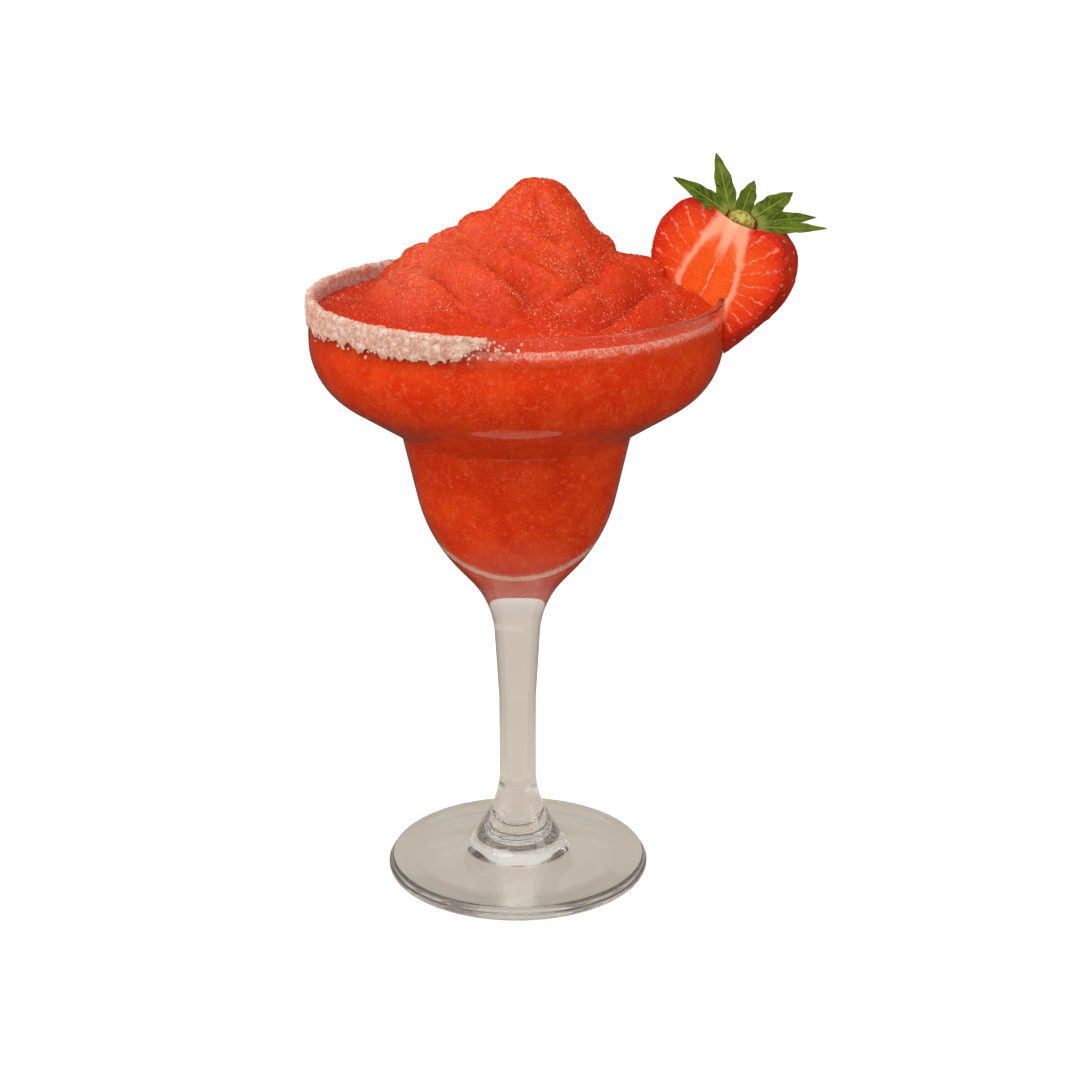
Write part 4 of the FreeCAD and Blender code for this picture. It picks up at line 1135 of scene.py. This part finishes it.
def makeSeeds():
    # small drop-shaped achenes, each in its dimple
    colours = berryPlan["colours"]
    finish = Finish("berrySeed")
    luck = finish.noise(finish.place(), 3.0)
    colour = finish.mix(luck, colours["seed"], colours["seedLit"])
    material = finish.solid({"Base Color": colour, "Roughness": 0.35})
    shape = chip("seedShape", 0.0, 3, scale=(0.62, 0.42, 1.0))
    tree, add = growTree("seedPlacer", [("Spots", "Geometry", "INPUT"), ("Size", "Float", "INPUT"),
                                        ("Seeds", "Geometry", "OUTPUT")])
    given = add("NodeGroupInput").outputs
    outward = add("GeometryNodeInputNamedAttribute", {"data_type": "FLOAT_VECTOR"},
                  {"Name": "outward"})
    aim = add("FunctionNodeAlignRotationToVector", {"axis": "Y"}, {"Vector": outward.outputs[0]})
    grain = add("GeometryNodeObjectInfo", {}, {"Object": shape})
    copies = add("GeometryNodeInstanceOnPoints", {},
                 {"Points": given["Spots"], "Instance": grain.outputs["Geometry"],
                  "Rotation": aim.outputs[0], "Scale": given["Size"]})
    real = add("GeometryNodeRealizeInstances", {}, {0: copies.outputs[0]})
    painted = add("GeometryNodeSetMaterial", {}, {"Geometry": real.outputs[0],
                                                  "Material": material})
    add("NodeGroupOutput", {}, {0: painted.outputs[0]})
    turn = np.array(berryFrame.to_3x3())
    kept = []
    for spot, away in seedSpots:
        if np.array(spot) @ cutFacing > cutOffset - 0.6:
            continue
        sunk = np.array(spot) - np.array(away) * berryPlan["seedSunk"]
        world = inBerry([sunk])[0]
        inGlass = math.hypot(world[0], world[1]) < wallOutside + 1 and world[2] < rimUp + 0.6
        if not inGlass:
            kept.append((world, turn @ np.array(away)))
    mesh = bpy.data.meshes.new("seedSpots")
    mesh.from_pydata([tuple(world * mm) for world, _ in kept], [], [])
    numbersOn(mesh, "outward", [away for _, away in kept], "FLOAT_VECTOR")
    scattered("berrySeeds", mesh, tree, {"Size": berryPlan["seedSize"] * mm})


makeSeeds()
print("seeds made")


# leaves

leafPlan = {
    "rootRadius": 4.6, "thick": 0.55, "arch": 1.3, "rows": 46, "columns": 20,
    # bearing, pitch, length, width, root height, curl at the tip, sideways bend,
    # turn to the front
    "leaves": [(180, 12, 17.5, 4.2, 0.6, 1.0, 0.6, 0.75),
               (140, 47, 16.5, 4.4, 1.0, 0.4, 0.2, 0.95),
               (89, 34, 14.5, 4.2, 0.8, 0.6, -0.6, 0.55), (46, 34, 15.0, 5.2, 1.9, 0.8, 0.4, 0.8),
               (16, 26, 16.2, 3.6, 1.1, 1.0, -0.5, 0.7), (-6, 18, 18.4, 3.4, 0.3, 1.6, 0.5, 0.6)],
    "front": (0.0, -0.95, 0.30),
    "rootFlare": 1.3, "edgeWave": (0.06, 21),     # height and closeness of the waves
    "veins": (0.16, 44, 10),     # height, closeness and slant
    "hubLine": [(0, -3.0, 0), (2.6, -2.4, 1.2), (3.7, 0.0, 0.8), (3.3, 1.7, 0.8),
                (1.8, 2.6, 0.8), (0, 2.4, 0)],
    "hubRidges": (0.05, 11), "hubAround": 72,
    "colours": {
        "leaf": tone(60, 82, 5), "leafLit": tone(98, 122, 18), "vein": tone(146, 160, 62),
        "rib": tone(158, 168, 76), "root": tone(170, 176, 80), "fleck": tone(140, 150, 60),
        "hub": tone(150, 150, 50), "hubLit": tone(196, 186, 92), "hubSpot": tone(130, 84, 40)},
}


def makeLeafFinish():
    colours = leafPlan["colours"]
    finish = Finish("leafGreen")
    spot = finish.marked("leafPlace")
    along = finish.axis(spot, 0)
    aside = finish.axis(spot, 1)
    away = abs(aside)
    cloud = finish.noise(finish.place(), 3.0, 3.0, 0.6)
    fine = finish.noise(finish.place(), 0.5, 2.0, 0.6)
    colour = finish.mix(cloud.above(0.35, 0.7), colours["leaf"], colours["leafLit"])
    rib = away.below(0.03, 0.11)
    _, closeness, slant = leafPlan["veins"]
    vein = (along * closeness - away * slant).sine().above(0.80, 0.98) * away.above(0.05, 0.2)
    colour = finish.mix(vein * 0.45, colour, colours["vein"])
    colour = finish.mix(rib * 0.6, colour, colours["rib"])
    colour = finish.mix(along.below(0.02, 0.22) * 0.5, colour, colours["root"])
    colour = finish.mix(fine.above(0.55, 0.75) * 0.25, colour, colours["fleck"])
    relief = finish.bump(vein * 0.6 + rib + fine * 0.3, 0.14, 0.8)
    return finish.solid({
        "Base Color": colour, "Roughness": 0.42 + 0.15 * fine, "Normal": relief,
        "Specular IOR Level": 0.22,
        "Subsurface Weight": 0.12, "Subsurface Radius": (0.5, 1.0, 0.2),
        "Subsurface Scale": 0.0008})


def makeLeaf(number, finish, bearing, pitch, length, width, rootHeight, curl, bend, toFront):
    sizes = leafPlan
    heading, rise = math.radians(bearing), math.radians(pitch)
    forward = np.array([math.cos(heading) * math.cos(rise), math.sin(heading) * math.cos(rise),
                        math.sin(rise)])
    aside = np.array([-math.sin(heading), math.cos(heading), 0])
    up = np.cross(forward, aside)
    front = np.array(sizes["front"]) @ np.array(berryFrame.to_3x3())
    front = front - forward * (front @ forward)
    up = up * (1 - toFront) + front / np.linalg.norm(front) * toFront
    up /= np.linalg.norm(up)
    aside = np.cross(up, forward)
    root = np.array([math.cos(heading) * sizes["rootRadius"],
                     math.sin(heading) * sizes["rootRadius"], rootHeight])
    rows, columns = sizes["rows"], sizes["columns"]
    waveHigh, waveClose = sizes["edgeWave"]
    veinHigh, veinClose, slant = sizes["veins"]
    top, under, places = [], [], []
    for row in range(rows + 1):
        share = row / rows
        half = width / 2 * math.sin(math.pi * share ** 0.80) ** 0.85 if 0 < share < 1 else 0.0
        half = half + sizes["rootFlare"] * (1 - share) ** 3 + 0.05
        half *= 1 + waveHigh * math.sin(share * waveClose + number)
        for column in range(columns + 1):
            side = 2 * column / columns - 1
            hump = sizes["arch"] * math.sin(math.pi * share) + curl * share ** 3 * 1.2
            hump += -0.75 * (1 - abs(side)) ** 1.5 * math.sin(math.pi * share) * 0.9
            hump += veinHigh * math.sin(share * veinClose - abs(side) * slant) \
                * (1 - share) * abs(side)
            point = root + forward * length * share \
                + aside * (half * side + bend * share ** 2 * 1.5) + up * hump
            thick = sizes["thick"] * (1 - 0.75 * abs(side) ** 3) * (1 - 0.6 * share)
            thick *= 1 + 0.5 * math.exp(-(side / 0.12) ** 2)
            top.append(point + up * thick / 2)
            under.append(point - up * thick / 2)
            places.append((share, side, number))
    across = columns + 1
    lower = len(top)
    faces = []
    for row in range(rows):
        for column in range(columns):
            start = row * across + column
            quad = (start, start + across, start + across + 1, start + 1)
            faces.append(quad)
            faces.append(tuple(lower + corner for corner in reversed(quad)))
    rim = list(range(across)) \
        + [row * across + columns for row in range(1, rows + 1)] \
        + [rows * across + column for column in range(columns - 1, -1, -1)] \
        + [row * across for row in range(rows - 1, 0, -1)]
    for here, after in zip(rim, rim[1:] + rim[:1]):
        faces.append((here, after, lower + after, lower + here))
    piece = makePiece(f"sepal{number}", inBerry(top + under), faces, [finish],
                      [f"sepal_{number}"])
    numbersOn(piece.data, "leafPlace", places + places, "FLOAT_VECTOR")


def makeHub():
    colours = leafPlan["colours"]
    finish = Finish("calyxHub")
    where = finish.place()
    cloud = finish.noise(where, 1.8, 3.0, 0.65)
    colour = finish.mix(cloud.above(0.36, 0.62), colours["hub"], colours["hubLit"])
    colour = finish.mix(finish.noise(where, 1.1, 2.0).above(0.56, 0.68), colour, colours["hubSpot"])
    material = finish.solid({
        "Base Color": colour, "Roughness": 0.55, "Normal": finish.bump(cloud, 0.3, 0.8)})
    run = filledRun(roundedRun(leafPlan["hubLine"], 0.3), 0.3)
    points, faces = turned(run, leafPlan["hubAround"])
    points = np.array(points, float)
    ridgeHigh, ridgeCount = leafPlan["hubRidges"]
    ridges = 1 + ridgeHigh * np.sin(np.arctan2(points[:, 1], points[:, 0]) * ridgeCount)
    points[:, 0] *= ridges
    points[:, 1] *= ridges
    points += 0.16 * np.column_stack([lumps(points, 1.1, seed) for seed in (71, 72, 73)])
    makePiece("calyxHub", inBerry(points), faces, [material], ["calyx_cap"])


leafFinish = makeLeafFinish()
for number, leaf in enumerate(leafPlan["leaves"], 1):
    makeLeaf(number, leafFinish, *leaf)
makeHub()
print("leaves made")


# stage: white sweep, soft lights, camera

stagePlan = {
    "floorHalf": 6.0, "floorDrop": 0.4, "floorGrey": (0.35, 0.35, 0.35, 1), "floorGlow": 0.86,
    "cameraAcross": 6.4, "cameraAway": 599.0, "cameraUp": 298.0, "cameraDown": 18.36,
    "lens": 75.53, "sensor": 36,
    "haze": (0.62, 0.545, 0.465, 1), "edgeShade": (0.47, 0.40, 0.32, 1),
    "skyLow": (0.60, 0.53, 0.46, 1), "skyHigh": (0.86, 0.84, 0.81, 1),
    "floorDimmed": 0.92, "skyDimmed": 0.9,     # how much darker reflections see them
    # name, place, height aimed at, width, height, power, colour, seen in reflections
    "lamps": [
        ("softboxTop", (-0.75, -0.65, 1.1), 0.13, 1.1, 0.9, 9, (1.0, 0.985, 0.96), True),
        ("softboxLeft", (-1.3, -0.25, 0.55), 0.12, 0.8, 1.0, 3, (1.0, 0.985, 0.96), True),
        ("softboxRight", (1.25, -0.55, 0.65), 0.12, 0.6, 0.9, 2.5, (1.0, 0.98, 0.95), True),
        ("softboxFront", (0.3, -1.3, 0.25), 0.12, 1.0, 0.5, 2.8, (1.0, 0.98, 0.95), False)],
}


def reflections(finish):
    return finish.path("Is Glossy Ray") * finish.path("Is Reflection Ray")


def makeFloor():
    # white to the eye, a warm grey in the glass, dark in reflections
    finish = Finish("paleFloor")
    seen, bounced = finish.path("Is Camera Ray"), reflections(finish)
    lit = finish.add("ShaderNodeBsdfDiffuse", {}, {"Color": stagePlan["floorGrey"]})
    glow = finish.add("ShaderNodeEmission", {}, {"Color": (1, 1, 1, 1),
                                                 "Strength": stagePlan["floorGlow"]})
    white = finish.add("ShaderNodeAddShader", {}, {0: lit, 1: glow})
    where = finish.place()
    east = finish.axis(where, 0)
    wide = finish.length(where)
    aside = abs(east / (wide + 1))
    shade = finish.mix(aside.above(0.55, 0.95) * wide.above(60, 250), stagePlan["haze"],
                       stagePlan["edgeShade"])
    far = finish.path("Ray Length").above(0.09, 0.14)
    warm = finish.add("ShaderNodeEmission", {}, {
        "Color": shade, "Strength": 1 - bounced * far * stagePlan["floorDimmed"]})
    material = finish.output(finish.add("ShaderNodeMixShader", {}, {0: seen, 1: warm, 2: white}))
    half = stagePlan["floorHalf"]
    drop = -stagePlan["floorDrop"] * mm
    mesh = bpy.data.meshes.new("floor")
    mesh.from_pydata([(-half, -half, drop), (half, -half, drop), (half, half, drop),
                      (-half, half, drop)], [], [(0, 1, 2, 3)])
    mesh.materials.append(material)
    put("floor", mesh)


def makeSky():
    world = bpy.data.worlds.new("studio")
    sky = Finish("studio", world)
    seen, bounced = sky.path("Is Camera Ray"), reflections(sky)
    way = sky.add("ShaderNodeTexCoord", output="Generated")
    up = sky.axis(way, 2)
    aside = abs(sky.axis(way, 0))
    shade = sky.mix(up.above(0.0, 0.8), stagePlan["skyLow"], stagePlan["skyHigh"])
    shade = sky.mix(aside.above(0.6, 0.95) * up.below(0.1, 0.5), shade, stagePlan["edgeShade"])
    room = sky.add("ShaderNodeBackground", {}, {
        "Color": shade, "Strength": 1 - bounced * stagePlan["skyDimmed"]})
    white = sky.add("ShaderNodeBackground", {}, {"Color": (1, 1, 1, 1)})
    both = sky.add("ShaderNodeMixShader", {}, {0: seen, 1: room, 2: white})
    sky.add("ShaderNodeOutputWorld", {}, {"Surface": both})
    bpy.context.scene.world = world


def makeLamp(name, place, aimUp, wide, high, power, colour, mirrored):
    lamp = bpy.data.lights.new(name, "AREA")
    lamp.shape = "RECTANGLE"
    lamp.size = wide
    lamp.size_y = high
    lamp.energy = power
    lamp.color = colour
    holder = put(name, lamp)
    holder.location = place
    facing = Vector((0, 0, aimUp)) - Vector(place)
    holder.rotation_euler = facing.to_track_quat("-Z", "Y").to_euler()
    holder.visible_glossy = mirrored


def makeCamera():
    camera = bpy.data.cameras.new("camera")
    camera.lens = stagePlan["lens"]
    camera.sensor_width = stagePlan["sensor"]
    camera.clip_start = 0.01
    holder = put("camera", camera)
    holder.location = (stagePlan["cameraAcross"] * mm, -stagePlan["cameraAway"] * mm,
                       stagePlan["cameraUp"] * mm)
    holder.rotation_euler = (math.radians(90 - stagePlan["cameraDown"]), 0, 0)
    bpy.context.scene.camera = holder


makeFloor()
makeSky()
for lamp in stagePlan["lamps"]:
    makeLamp(*lamp)
makeCamera()
scene = bpy.context.scene
scene.view_settings.view_transform = "Standard"
scene.cycles.sample_clamp_indirect = 4
scene.cycles.transparent_max_bounces = 16
scene.cycles.max_bounces = 20
scene.cycles.transmission_bounces = 20
print("stage set")
